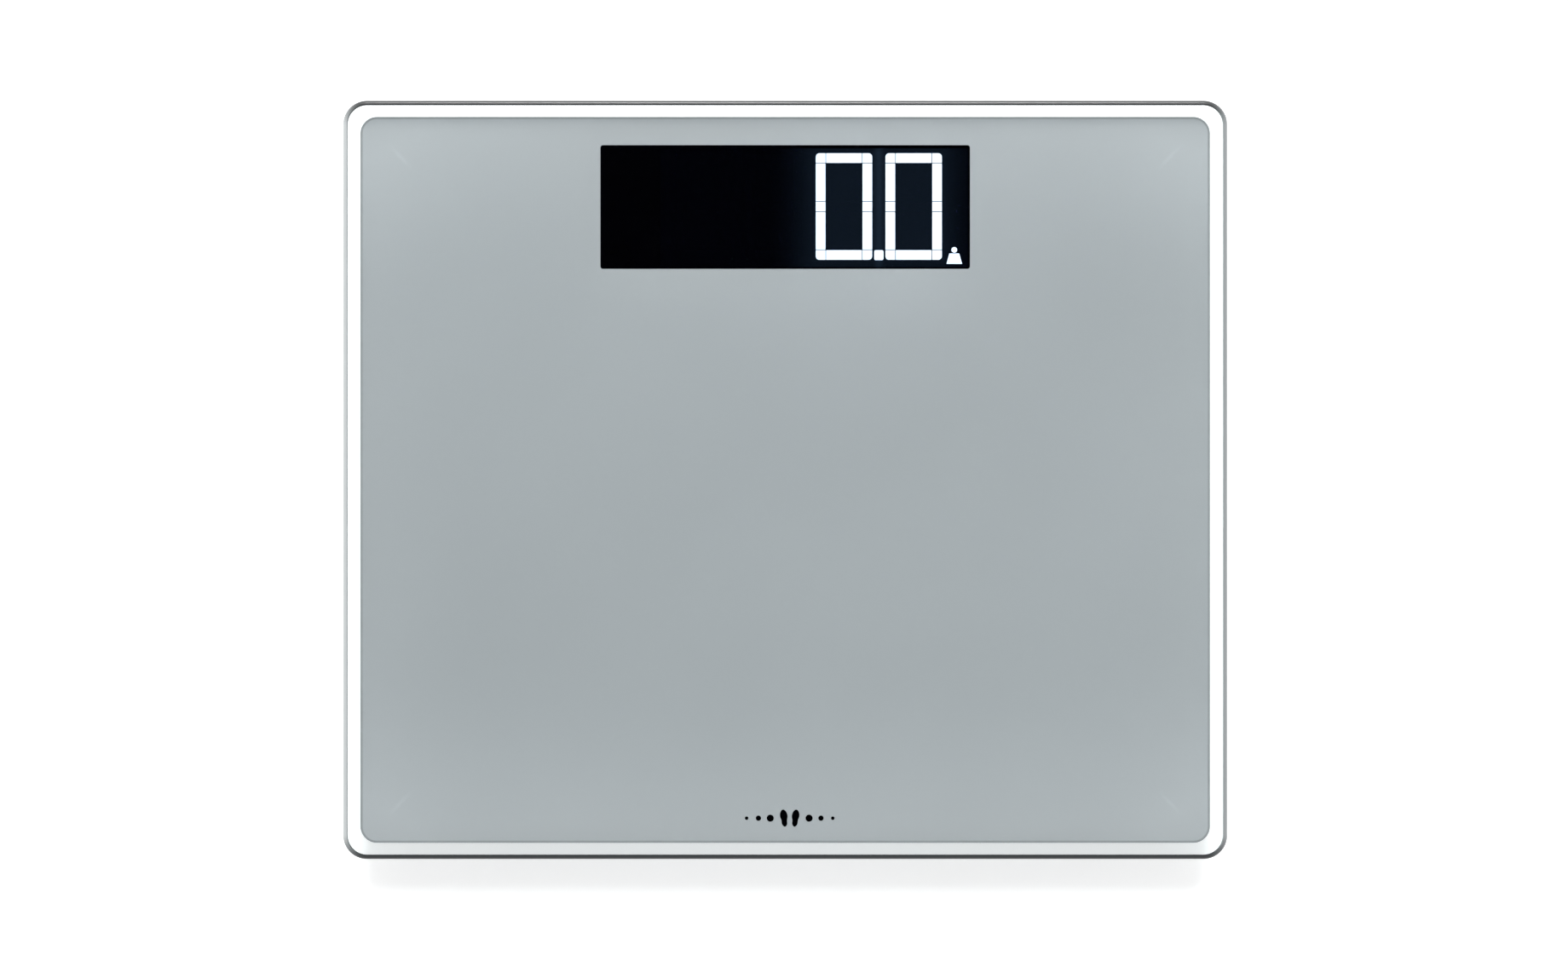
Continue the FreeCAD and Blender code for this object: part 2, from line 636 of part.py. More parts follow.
def led_board():
    body = new_body("led_board")
    front, rear = "(dims.board_rear - 2.5)", "(dims.window_mid + dims.reflector_deep / 2)"
    left, right = "(dims.reflector_left - 5)", "(dims.reflector_right - 1)"
    middle_x, wide = f"({left} + {right}) / 2", f"{right} - {left}"
    outline = rectangle(middle_x, f"({front} + {rear}) / 2", wide, f"{rear} - {front}")
    raised(body, "outline", "dims.led_board_under", "dims.board_thick", outline)
    holes = [circle(x, y, "dims.board_hole") for x, y in display_screw_places]
    holes += [circle(x, y, "dims.pin_hole") for x, y in header_pin_places()]
    cut(body, "holes", led_board_top, "dims.board_thick", *holes)


def main_board():
    body = new_body("main_board")
    middle_x = "(dims.board_left + dims.board_right) / 2"
    middle_y = "(dims.board_front + dims.board_rear) / 2"
    wide, deep = "dims.board_right - dims.board_left", "dims.board_rear - dims.board_front"
    raised(body, "outline", main_board_under, "dims.board_thick", rectangle(middle_x, middle_y, wide, deep))
    holes = [circle(x, y, "dims.board_hole") for x, y in main_screw_places]
    holes += [circle(x, y, "dims.pin_hole") for x, y in header_pin_places()]
    cut(body, "holes", main_board_top, "dims.board_thick", *holes)


def board_header_pins():
    body = new_body("board_header_pins")
    under = "dims.led_board_under - dims.pin_past"
    pins = [circle(x, y, "dims.pin_across") for x, y in header_pin_places()]
    raised(body, "pins", under, "2 * (dims.board_thick + dims.pin_past)", *pins)


def weighing_chip():
    body = new_body("weighing_chip")
    case = rectangle("dims.chip_x", "dims.chip_y", "dims.chip_wide", "dims.chip_wide")
    raised(body, "case", f"{main_board_top} + dims.chip_gap", "dims.chip_thick", case)
    # eleven pins on each of the four sides
    steps = [f"{i - 5} * dims.chip_pitch" for i in range(11)]
    long, narrow = "dims.chip_pin_long", "dims.chip_pin_wide"
    reach = f"(dims.chip_wide + {long}) / 2"
    for i, side in enumerate((-1, 1)):
        rows = [rectangle(f"dims.chip_x + {side} * {reach}", f"dims.chip_y + {step}", long, narrow) for step in steps]
        raised(body, f"pins_x_{i}", main_board_top, "dims.low_part", *rows)
        rows = [rectangle(f"dims.chip_x + {step}", f"dims.chip_y + {side} * {reach}", narrow, long) for step in steps]
        raised(body, f"pins_y_{i}", main_board_top, "dims.low_part", *rows)


def board_components():
    body = new_body("board_components")
    cans = [circle(x, y, "5") for x, y in (("4", "60"), ("12", "60"))]
    raised(body, "capacitors", main_board_top, "4.4", *cans)
    raised(body, "crystal", main_board_top, "2.6", rounded("52", "70", "9", "3.6", "1.7"))
    chips = [rectangle(x, y, "5", "4") for x, y in (("60", "56"), ("16", "74"))]
    raised(body, "chips", main_board_top, "1.2", *chips)
    small = [rectangle(f"{20 + 4 * i}", "52", "1.6", "0.8") for i in range(9)]
    small += [rectangle("52", f"{55 + 3 * i}", "1.6", "0.8") for i in range(4)]
    raised(body, "resistors", main_board_top, "dims.low_part", *small)


# The leads of the load cells. Each route is a list of X and Y from the strain gauge to its connector.

lead_routes = {
    "rear_right": [(150, 108.4), (150, 66), (78, 66)],
    "front_right": [(150, -108.4), (150, 50), (78, 50)],
    "rear_left": [(-150, 108.4), (-150, 22), (-16, 22), (-16, 41)],
    "front_left": [(-150, -108.4), (-150, 10), (-4, 10), (-4, 41)],
}


def lead_entries():
    # where the leads cross the walls of the housing
    side = "dims.housing_wide / 2 - dims.housing_wall / 2"
    front = "dims.housing_mid - dims.housing_deep / 2 + dims.housing_wall / 2"
    places = []
    for name, side_x, side_y, turn in corners:
        x, y = lead_routes[name][-1]
        places.append((side, f"{y}") if side_x > 0 else (f"{x}", front))
    return places


def battery_lead_y():
    return ["dims.bay_mid - 13.5", "dims.bay_mid + 13.5"]


def lead_connectors():
    body = new_body("lead_connectors")
    outlines = []
    for name, side_x, side_y, turn in corners:
        x, y = lead_routes[name][-1]
        if side_x > 0:
            outlines.append(rectangle(f"{x} - dims.plug_deep / 2", f"{y}", "dims.plug_deep", "dims.plug_long"))
        else:
            outlines.append(rectangle(f"{x}", f"{y} + dims.plug_deep / 2", "dims.plug_long", "dims.plug_deep"))
    raised(body, "cases", main_board_top, "dims.plug_high", *outlines)


def tube(points, across, bend):
    # a wire along straight runs joined by tangent arcs
    edges = []
    start = points[0]
    for before, corner, after in zip(points, points[1:], points[2:]):
        back, ahead = (before - corner).normalize(), (after - corner).normalize()
        half_turn = (math.pi - back.getAngle(ahead)) / 2
        runs = min((before - corner).Length, (after - corner).Length)
        radius = min(bend, 0.45 * runs / math.tan(half_turn))
        reach = radius * math.tan(half_turn)
        into = (back + ahead).normalize() * (radius / math.cos(half_turn) - radius)
        enter, leave = corner + back * reach, corner + ahead * reach
        edges.append(Part.LineSegment(start, enter).toShape())
        edges.append(Part.Arc(enter, corner + into, leave).toShape())
        start = leave
    edges.append(Part.LineSegment(start, points[-1]).toShape())
    path = Part.Wire(edges)
    ring = Part.Wire(Part.Circle(points[0], points[1] - points[0], across / 2).toShape())
    solid = path.makePipeShell([ring], True, True)
    expected = path.Length * math.pi * across**2 / 4
    if abs(solid.Volume / expected - 1) > 0.01:
        raise ValueError("a wire's volume isn't its section times its length")
    return solid


def beside(route, offset):
    # the route moved sideways by offset, with its corners kept square
    points = [vector(*place) for place in route]
    ways = [(end - start).normalize() for start, end in zip(points, points[1:])]
    shifts = [vector(-way.y, way.x) * offset for way in ways]
    moved = [points[0] + shifts[0]]
    for point, before, after in zip(points[1:], shifts, shifts[1:]):
        moved.append(point + before + after)
    return moved + [points[-1] + shifts[-1]]


def wires(name, routes, height, bend):
    # one node of round wires; a Part::Feature, because each follows a route of lines and arcs
    feature = document.addObject("Part::Feature", name)
    feature.Label = name
    solids = []
    for route in routes:
        points = [vector(p.x, p.y, p.z + height) for p in route]
        solids.append(tube(points, number("dims.lead_across"), bend))
    feature.Shape = solids[0] if len(solids) == 1 else Part.makeCompound(solids)
    feature.Placement = FreeCAD.Placement()
    nodes.append(feature)
    return feature


def load_cell_lead(name):
    step = number("dims.lead_step")
    routes = [beside(lead_routes[name], side * step) for side in (-1, 0, 1)]
    wires(f"load_cell_lead_{name}", routes, number("dims.lead_z"), number("dims.lead_bend"))


def battery_lead(name, y):
    start = number("dims.bay_left + dims.bay_long")
    drop = number(f"{main_board_top} - dims.lead_z")
    end = number("dims.board_left") + 5
    route = [vector(start, y, 0), vector(end, y, 0), vector(end, y, drop)]
    wires(name, [route], number("dims.lead_z"), 2)


def box(name, x, y, z, wide, deep, high):
    block = document.addObject("Part::Box", name)
    block.setExpression("Length", wide)
    block.setExpression("Width", deep)
    block.setExpression("Height", high)
    block.setExpression("Placement.Base.x", x)
    block.setExpression("Placement.Base.y", y)
    block.setExpression("Placement.Base.z", z)
    return block


def run_box(name, start, end, half, bottom, height):
    # a block round one straight run of a lead, longer than the run by half at each end
    low_x, high_x = sorted((start[0], end[0]))
    low_y, high_y = sorted((start[1], end[1]))
    across = (f"{low_x} - {half}", f"{low_y} - {half}")
    size = (f"{high_x} - {low_x} + 2 * {half}", f"{high_y} - {low_y} + 2 * {half}")
    return box(name, *across, bottom, *size, height)


def fused(name, shapes):
    joined = document.addObject("Part::MultiFuse", name)
    joined.Shapes = shapes
    return joined


def cable_channel(name):
    # a U channel glued under the glass, round the lead from just outside the foot to just outside the housing
    route = list(lead_routes[name])
    half, inner = "(dims.channel_wide / 2)", "(dims.channel_wide / 2 - dims.channel_wall)"
    away = 1 if route[1][1] > route[0][1] else -1
    route[0] = (route[0][0], route[0][1] + away * 20)
    if len(route) == 3:
        route[-1] = (number("dims.housing_wide / 2") + 5, route[-1][1])
    else:
        wall_y = number("dims.housing_mid - dims.housing_deep / 2")
        route[-1] = (route[-1][0], wall_y - 5)
    under, inside = "dims.channel_under", "dims.channel_under + dims.channel_wall"
    outer_parts, inner_parts = [], []
    last = len(route) - 2
    for i, (start, end) in enumerate(zip(route, route[1:])):
        high = f"dims.glass_under - ({under})"
        outer_parts.append(run_box(f"{name}_outer_{i}", start, end, half, under, high))
        first_open, last_open = start, end
        if i == 0:
            first_open = (start[0], start[1] - away * 5)
        if i == last:
            way = (end[0] - start[0], end[1] - start[1])
            length = math.hypot(*way)
            last_open = (end[0] + 5 * way[0] / length, end[1] + 5 * way[1] / length)
        high = f"dims.glass_under - ({inside})"
        inner_parts.append(run_box(f"{name}_inner_{i}", first_open, last_open, inner, inside, high))
    channel = document.addObject("Part::Cut", f"cable_channel_{name}")
    channel.Label = f"cable_channel_{name}"
    channel.Base = fused(f"{name}_outer", outer_parts)
    channel.Tool = fused(f"{name}_inner", inner_parts)
    nodes.append(channel)


# The batteries.


def battery_y(index):
    return f"(dims.bay_mid + {index - 1.5} * dims.battery_pitch)"


def battery_cell(index):
    # cells 1 and 3 have their nub to the right, and 2 and 4 to the left
    body = new_body(f"battery_cell_{index + 1}")
    radius, long = "dims.battery_across / 2", "dims.battery_long"
    outline = [
        ("0", "0"),
        ("0", "3.6"),
        ("0.5", f"{radius} - 0.4"),
        ("0.9", radius),
        (f"{long} - 1.6", radius),
        (f"{long} - 1.2", f"{radius} - 0.4"),
        (f"{long} - 1.0", "1.9"),
        (long, "1.7"),
        (long, "0"),
    ]
    sketch = draw(body, "outline", "XZ_Plane", 0, [polygon(*outline)])
    revolution = body.newObject("PartDesign::Revolution", sketch.Name + "_turned")
    revolution.Profile = sketch
    revolution.ReferenceAxis = (sketch, ["H_Axis"])
    revolution.Angle = 360
    from_end = "(dims.bay_long - dims.contact_thick - dims.battery_long)"
    if index % 2 == 0:
        move(body, f"dims.bay_left + {from_end}", battery_y(index), "dims.battery_z")
    else:
        move(body, f"dims.bay_left + dims.bay_long - {from_end}", battery_y(index), "dims.battery_z", 180)


def battery_springs():
    body = new_body("battery_springs")
    room = "(dims.bay_long - 2 * dims.contact_thick - dims.battery_long)"
    for index in range(4):
        section = circle("0", "dims.spring_radius", "dims.spring_wire")
        sketch = draw(body, f"wire_{index}", "XZ_Plane", f"-{battery_y(index)}", [section])
        start = "dims.bay_left + dims.contact_thick + dims.spring_gap"
        if index % 2:
            start = f"dims.bay_left + dims.bay_long - dims.contact_thick - {room} + dims.spring_gap"
        sketch.setExpression("AttachmentOffset.Base.x", start)
        sketch.setExpression("AttachmentOffset.Base.y", "dims.battery_z")
        helix = body.newObject("PartDesign::AdditiveHelix", f"coil_{index}")
        helix.Profile = sketch
        helix.ReferenceAxis = (sketch, ["H_Axis"])
        helix.Mode = 0
        helix.Pitch = 1.2
        helix.setExpression("Height", f"{room} - 2 * dims.spring_gap")


def battery_plates():
    # link plates at both ends of the bay, and the two end plates that the leads leave from
    body = new_body("battery_plates")
    left = "dims.bay_left + dims.contact_thick / 2"
    right = "dims.bay_left + dims.bay_long - dims.contact_thick / 2"
    thick, single = "dims.contact_thick", "dims.contact_wide"
    pair = f"dims.battery_pitch + {single}"
    plates = [rectangle(left, f"dims.bay_mid + {side} * dims.battery_pitch", thick, pair) for side in (-1, 1)]
    plates.append(rectangle(right, "dims.bay_mid", thick, pair))
    plates += [rectangle(right, battery_y(index), thick, single) for index in (0, 3)]
    raised(body, "plates", "dims.battery_z - 3.4", "8", *plates)


# One foot: carrier, load cell, gauge, cap and pad. The lead leaves towards -Y before the foot is turned.


def foot_carrier(name):
    body = new_body(f"foot_carrier_{name}")
    outer, inner = "dims.carrier_across / 2", "dims.carrier_across / 2 - dims.carrier_wall"
    lip_top = "dims.carrier_bottom + dims.lip_thick"
    turned(
        body,
        "profile",
        ("0", carrier_ceiling),
        (inner, carrier_ceiling),
        (inner, lip_top),
        ("dims.lip_inside", lip_top),
        ("dims.lip_inside", "dims.carrier_bottom"),
        (f"{outer} - 0.5", "dims.carrier_bottom"),
        (outer, "dims.carrier_bottom + 0.5"),
        (outer, f"{bond_under} - 0.5"),
        (f"{outer} - 0.5", bond_under),
        ("0", bond_under),
    )
    ledge = "(dims.tongue_wide / 2 + dims.cell_slot + 0.5)"
    out = "(dims.cell_wide / 2)"
    ledges = [
        rectangle(f"{side} * ({ledge} + {out}) / 2", "0", f"{out} - {ledge}", "dims.cell_wide - 6")
        for side in (-1, 1)
    ]
    raised(body, "ledges", cell_top, f"{carrier_ceiling} - ({cell_top})", *ledges)
    holes = [circle(f"{side} * dims.cell_screw_x", "0", "2.5") for side in (-1, 1)]
    cut(body, "screw_holes", f"{carrier_ceiling}", f"{carrier_ceiling} - ({cell_top})", *holes)
    notch = rectangle("0", f"-({outer} - 1)", "6.4", "5")
    cut(body, "lead_notch", carrier_ceiling, f"{carrier_ceiling} - dims.lead_z + 1.1", notch)
    return body


def load_cell(name):
    body = new_body(f"load_cell_{name}")
    wide = "dims.cell_wide"
    raised(body, "plate", "dims.cell_under", "dims.cell_thick", rounded("0", "0", wide, wide, "dims.cell_corner"))
    inner = "(dims.tongue_wide / 2)"
    outer = f"({inner} + dims.cell_slot)"
    root, tip = "-dims.tongue_root", "dims.tongue_tip"
    far = f"({tip} + dims.cell_slot)"
    slot = polygon(
        (f"-{outer}", root),
        (f"-{inner}", root),
        (f"-{inner}", tip),
        (inner, tip),
        (inner, root),
        (outer, root),
        (outer, far),
        (f"-{outer}", far),
    )
    cut(body, "slot", cell_top, "dims.cell_thick", slot)
    holes = [circle(f"{side} * dims.cell_screw_x", "0", "2.8") for side in (-1, 1)]
    cut(body, "screw_holes", cell_top, "dims.cell_thick", *holes)
    return body


def strain_gauge(name):
    body = new_body(f"strain_gauge_{name}")
    blob = raised(body, "potting", cell_top, "2.2", rounded("0", "-12.2", "10", "6.8", "1.5"))
    bevelled(body, blob, "0.4", [f"{cell_top} + 2.2"])
    return body


def foot_cap(name):
    body = new_body(f"foot_cap_{name}")
    outer = "(dims.cap_across / 2)"
    inner = f"({outer} - dims.cap_wall)"
    recess = "dims.pad_across / 2 + 0.1"
    plate_top = "dims.pad_thick + dims.cap_plate"
    boss = "dims.boss_across / 2"
    turned(
        body,
        "profile",
        ("0", "dims.pad_thick"),
        (recess, "dims.pad_thick"),
        (recess, "dims.cap_bottom"),
        (f"{outer} - dims.pad_bevel", "dims.cap_bottom"),
        (outer, "dims.cap_bottom + dims.pad_bevel"),
        (outer, "dims.cap_top"),
        (inner, "dims.cap_top"),
        (inner, plate_top),
        (boss, plate_top),
        (boss, "dims.cell_under"),
        ("0", "dims.cell_under"),
    )
    reach = f"(dims.hook_reach - {outer} + 0.4)"
    for i, angle in enumerate((90, 210, 330)):
        hook = rectangle(f"{outer} + {reach} / 2 - 0.4", "0", reach, "8")
        sketch_top = "dims.cap_top - dims.hook_thick"
        pad = raised(body, f"hook_{i}", sketch_top, "dims.hook_thick", hook)
        pad.Profile[0].AttachmentOffset = FreeCAD.Placement(vector(), FreeCAD.Rotation(angle, 0, 0))
    return body


def foot_pad(name):
    body = new_body(f"foot_pad_{name}")
    radius, thick, bevel = "(dims.pad_across / 2)", "dims.pad_thick", "dims.pad_bevel"
    outline = [("0", "0")]
    for start in ("dims.inner_groove", "dims.outer_groove"):
        end = f"{start} + dims.groove_wide"
        outline += [(start, "0"), (start, "dims.groove_deep"), (end, "dims.groove_deep"), (end, "0")]
    outline += [(f"{radius} - {bevel}", "0"), (radius, bevel), (radius, thick), ("0", thick)]
    turned(body, "profile", *outline)
    return body


def feet():
    for name, side_x, side_y, turn in corners:
        for make in (foot_carrier, load_cell, strain_gauge, foot_cap, foot_pad):
            move(make(name), f"{side_x} * dims.foot_x", f"{side_y} * dims.foot_y", 0, turn)


def foot_places(dx):
    return [
        (f"{side_x} * dims.foot_x + ({dx})", f"{side_y} * dims.foot_y")
        for name, side_x, side_y, turn in corners
    ]


def foot_bond_pads():
    body = new_body("foot_bond_pads")
    pads = [circle(x, y, "dims.bond_pad_across") for x, y in foot_places("0")]
    raised(body, "pads", bond_under, "dims.bond_thick", *pads)


def load_cell_screws():
    places = foot_places("dims.cell_screw_x") + foot_places("-dims.cell_screw_x")
    screws("load_cell_screws", places, "dims.cell_under - 1.3", "1.3", "4.6", "2.4", "5")


glass_platform()
housing_bond_tape()
display_housing()
rear_cover()
cover_screw = ("1.6", "dims.cover_head", "dims.cover_shank")
screws("rear_cover_screws", cover_screw_places, "dims.cover_under + 0.6", *cover_screw, "8")
battery_door()
unit_button()
unit_switch()
display_reflector()
segment_diffusers()
segment_leds()
display_filter()
led_board()
main_board()
board_header_pins()
weighing_chip()
board_components()
lead_connectors()
board_screw = ("dims.board_head_thick", "dims.board_head", "dims.board_shank")
screws("display_screws", display_screw_places, "dims.led_board_under - dims.board_head_thick", *board_screw, "6")
screws("main_board_screws", main_screw_places, f"{main_board_under} - dims.board_head_thick", *board_screw, "5")
for index in range(4):
    battery_cell(index)
battery_springs()
battery_plates()
battery_lead("battery_lead_red", number(battery_lead_y()[0]))
battery_lead("battery_lead_black", number(battery_lead_y()[1]))
feet()
foot_bond_pads()
load_cell_screws()
for name, side_x, side_y, turn in corners:
    load_cell_lead(name)
    cable_channel(name)

document.recompute()

for item in document.Objects:
    if any(state in ("Invalid", "Error") for state in item.State):
        raise ValueError(f"{item.Name} didn't compute")
    if item.TypeId == "PartDesign::Pocket":
        base = item.BaseFeature
        if item.Shape.Volume > base.Shape.Volume - 1e-3:
            raise ValueError(f"{item.Name} cuts nothing")
for node in nodes:
    if node.Shape.isNull() or not node.Shape.isValid():
        raise ValueError(f"{node.Label} isn't a valid shape")

os.makedirs("parts", exist_ok=True)
for node in nodes:
    node.Shape.exportStep(f"parts/{node.Label}.step")
print(f"{len(nodes)} nodes written")
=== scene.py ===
import math

import bmesh
import bpy
from mathutils import Matrix, Vector

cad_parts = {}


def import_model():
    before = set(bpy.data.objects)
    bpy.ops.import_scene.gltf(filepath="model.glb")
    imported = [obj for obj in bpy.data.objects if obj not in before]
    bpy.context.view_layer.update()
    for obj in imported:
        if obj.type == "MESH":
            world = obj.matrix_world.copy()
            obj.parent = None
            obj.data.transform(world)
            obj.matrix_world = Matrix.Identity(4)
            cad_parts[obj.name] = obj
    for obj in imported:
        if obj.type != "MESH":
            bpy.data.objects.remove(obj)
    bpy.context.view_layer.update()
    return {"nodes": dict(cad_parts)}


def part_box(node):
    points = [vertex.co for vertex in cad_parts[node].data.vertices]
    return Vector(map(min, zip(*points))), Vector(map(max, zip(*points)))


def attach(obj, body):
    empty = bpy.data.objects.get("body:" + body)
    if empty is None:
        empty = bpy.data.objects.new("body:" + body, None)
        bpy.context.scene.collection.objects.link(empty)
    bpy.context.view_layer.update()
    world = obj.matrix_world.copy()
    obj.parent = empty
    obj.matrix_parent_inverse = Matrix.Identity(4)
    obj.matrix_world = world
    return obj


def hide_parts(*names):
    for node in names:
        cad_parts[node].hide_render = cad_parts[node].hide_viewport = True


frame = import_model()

# A digital bathroom scale: glass platform, printed back, display window, four weighing feet and electronics
# housing. Metres, origin on the floor under the middle of the glass, +Y towards the display edge, +Z up.

mm = 0.001
nodes = frame["nodes"]
corners = ("front_left", "front_right", "rear_left", "rear_right")
glassLow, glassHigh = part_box("glass_platform")
filmLow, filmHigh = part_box("display_filter")
print("frame loaded:", len(nodes), "nodes")


# Small helpers

def linear(hexText):
    values = [int(hexText[i:i + 2], 16) / 255 for i in (1, 3, 5)]
    return tuple(v / 12.92 if v <= 0.04045 else ((v + 0.055) / 1.055) ** 2.4 for v in values) + (1.0,)


def addNode(tree, kind, inputs=None, **settings):
    # adds a node, sets its properties, then fills or links its inputs
    node = tree.nodes.new(kind)
    for name, value in settings.items():
        setattr(node, name, value)
    for socket, value in (inputs or {}).items():
        if isinstance(value, bpy.types.NodeSocket):
            tree.links.new(value, node.inputs[socket])
        else:
            node.inputs[socket].default_value = value
    return node


def newFinish(name, **values):
    # a material with one Principled shader, and its constant values on the shader's own sockets
    material = bpy.data.materials.new(name)
    material.use_nodes = True
    shader = material.node_tree.nodes["Principled BSDF"]
    for socket, value in values.items():
        shader.inputs[socket.replace("_", " ")].default_value = value
    return material, material.node_tree, shader


def setRamp(ramp, *stops):
    # colour stops as (place, sRGB hex)
    elements = ramp.color_ramp.elements
    while len(elements) < len(stops):
        elements.new(0.5)
    for element, (place, hexText) in zip(elements, stops):
        element.position = place
        element.color = linear(hexText)


def objectSpace(tree):
    return addNode(tree, "ShaderNodeTexCoord").outputs["Object"]


def addPiece(mesh, name, *materials):
    piece = bpy.data.objects.new(name, mesh)
    bpy.context.scene.collection.objects.link(piece)
    for material in materials:
        mesh.materials.append(material)
    return piece


def roundedLoop(wide, deep, radius, middle=(0, 0), steps=10):
    # points of a rounded rectangle, anticlockwise from the right side
    points = []
    for quarter, (sx, sy) in enumerate(((1, 1), (-1, 1), (-1, -1), (1, -1))):
        for step in range(steps + 1):
            angle = (quarter + step / steps) * math.pi / 2
            x = sx * (wide / 2 - radius) + radius * math.cos(angle)
            y = sy * (deep / 2 - radius) + radius * math.sin(angle)
            points.append((middle[0] + x, middle[1] + y))
    return points


def disc(x, y, radius, steps=24):
    return [(x + radius * math.cos(i / steps * math.tau), y + radius * math.sin(i / steps * math.tau))
            for i in range(steps)]


def flatPlate(name, loops, low, high):
    # a thin plate from outer and inner outlines, closed and with its holes open
    curve = bpy.data.curves.new(name, "CURVE")
    curve.dimensions = "2D"
    curve.fill_mode = "BOTH"
    curve.extrude = (high - low) / 2
    for loop in loops:
        spline = curve.splines.new("POLY")
        spline.points.add(len(loop) - 1)
        for point, (x, y) in zip(spline.points, loop):
            point.co = (x, y, 0, 1)
        spline.use_cyclic_u = True
    holder = bpy.data.objects.new(name + "Curve", curve)
    bpy.context.scene.collection.objects.link(holder)
    bpy.context.view_layer.update()
    mesh = bpy.data.meshes.new_from_object(holder.evaluated_get(bpy.context.evaluated_depsgraph_get()))
    bpy.data.objects.remove(holder)
    mesh.transform(Matrix.Translation((0, 0, (low + high) / 2)))
    shape = bmesh.new()
    shape.from_mesh(mesh)
    bmesh.ops.remove_doubles(shape, verts=shape.verts, dist=1e-6)
    bmesh.ops.recalc_face_normals(shape, faces=shape.faces)
    shape.to_mesh(mesh)
    shape.free()
    mesh.name = name
    return mesh


def lathe(profile, middle=(0, 0), steps=72):
    # a closed solid turned about an upright axis, from (radius, height) points that start and end on the axis
    shape = bmesh.new()
    rings = []
    for radius, z in profile:
        count = steps if radius > 1e-7 else 1
        rings.append([
            shape.verts.new((middle[0] + radius * math.cos(i / count * math.tau),
                             middle[1] + radius * math.sin(i / count * math.tau), z))
            for i in range(count)
        ])
    for lower, upper in zip(rings, rings[1:]):
        for i in range(steps):
            around = [lower[i % len(lower)], lower[(i + 1) % len(lower)],
                      upper[(i + 1) % len(upper)], upper[i % len(upper)]]
            shape.faces.new(list(dict.fromkeys(around)))
    return finished(shape)


def finished(shape, sharpDegrees=35):
    # faces outward, smooth where the surface bends gently
    bmesh.ops.recalc_face_normals(shape, faces=shape.faces)
    for face in shape.faces:
        face.smooth = True
    for rim in shape.edges:
        rim.smooth = rim.is_manifold and rim.calc_face_angle(0) < math.radians(sharpDegrees)
    mesh = bpy.data.meshes.new("part")
    shape.to_mesh(mesh)
    shape.free()
    return mesh


def looseParts(mesh):
    # the separate solids of a mesh, welded: each as its faces and its box, in order of place
    shape = bmesh.new()
    shape.from_mesh(mesh)
    bmesh.ops.remove_doubles(shape, verts=shape.verts, dist=1e-6)
    shape.faces.ensure_lookup_table()
    seen, parts = set(), []
    for face in shape.faces:
        if face.index in seen:
            continue
        seen.add(face.index)
        found, waiting = [], [face]
        while waiting:
            here = waiting.pop()
            found.append(here)
            for vert in here.verts:
                for other in vert.link_faces:
                    if other.index not in seen:
                        seen.add(other.index)
                        waiting.append(other)
        places = [vert.co for here in found for vert in here.verts]
        low = Vector([min(place[axis] for place in places) for axis in range(3)])
        high = Vector([max(place[axis] for place in places) for axis in range(3)])
        parts.append((found, low, high))
    parts.sort(key=lambda part: (round(part[1].x, 5), round(part[1].y, 5)))
    return shape, parts


def newTree(name, **sizes):
    # a Geometry Nodes tree with named number inputs
    tree = bpy.data.node_groups.new(name, "GeometryNodeTree")
    tree.interface.new_socket("Geometry", in_out="INPUT", socket_type="NodeSocketGeometry")
    for label, value in sizes.items():
        kind = "NodeSocketInt" if isinstance(value, int) else "NodeSocketFloat"
        tree.interface.new_socket(label, in_out="INPUT", socket_type=kind).default_value = value
    tree.interface.new_socket("Geometry", in_out="OUTPUT", socket_type="NodeSocketGeometry")
    return tree, addNode(tree, "NodeGroupInput").outputs


def endTree(tree, geometry, material):
    real = addNode(tree, "GeometryNodeRealizeInstances", {"Geometry": geometry})
    named = addNode(tree, "GeometryNodeSetMaterial", {"Geometry": real.outputs[0], "Material": material})
    addNode(tree, "NodeGroupOutput", {"Geometry": named.outputs[0]})


def meshFromTree(tree, name, material, points=(), **sizes):
    # runs the tree on a mesh of loose points and gives back a plain piece
    start = bpy.data.meshes.new(name + "Points")
    start.from_pydata(list(points), [], [])
    holder = bpy.data.objects.new(name + "Holder", start)
    bpy.context.scene.collection.objects.link(holder)
    modifier = holder.modifiers.new("make", "NODES")
    modifier.node_group = tree
    for item in tree.interface.items_tree:
        if item.in_out == "INPUT" and item.name in sizes:
            modifier[item.identifier] = sizes[item.name]
    bpy.context.view_layer.update()
    mesh = bpy.data.meshes.new_from_object(holder.evaluated_get(bpy.context.evaluated_depsgraph_get()))
    bpy.data.objects.remove(holder)
    mesh.name = name
    mesh.materials.clear()
    return addPiece(mesh, name, material)


# Finishes of the glass and the display

def passLamps(tree, shader, tint):
    # the lamps' light goes on through, dimmed to the tint, instead of leaving a hard shadow
    path = addNode(tree, "ShaderNodeLightPath").outputs["Is Shadow Ray"]
    clear = addNode(tree, "ShaderNodeBsdfTransparent", {"Color": linear(tint)})
    mixed = addNode(tree, "ShaderNodeMixShader", {0: path, 1: shader.outputs[0], 2: clear.outputs[0]})
    tree.links.new(mixed.outputs[0], tree.nodes["Material Output"].inputs["Surface"])


def floatGlass():
    # tempered soda-lime float glass, fire-polished: clear with a faint green cast. Lamps shine through it.
    look = {"tint": "#F9FCFC", "ior": 1.52}
    material, tree, shader = newFinish(
        "temperedFloatGlass", Base_Color=linear(look["tint"]), IOR=look["ior"], Roughness=0.0,
        Transmission_Weight=1.0)
    passLamps(tree, shader, look["tint"])
    return material


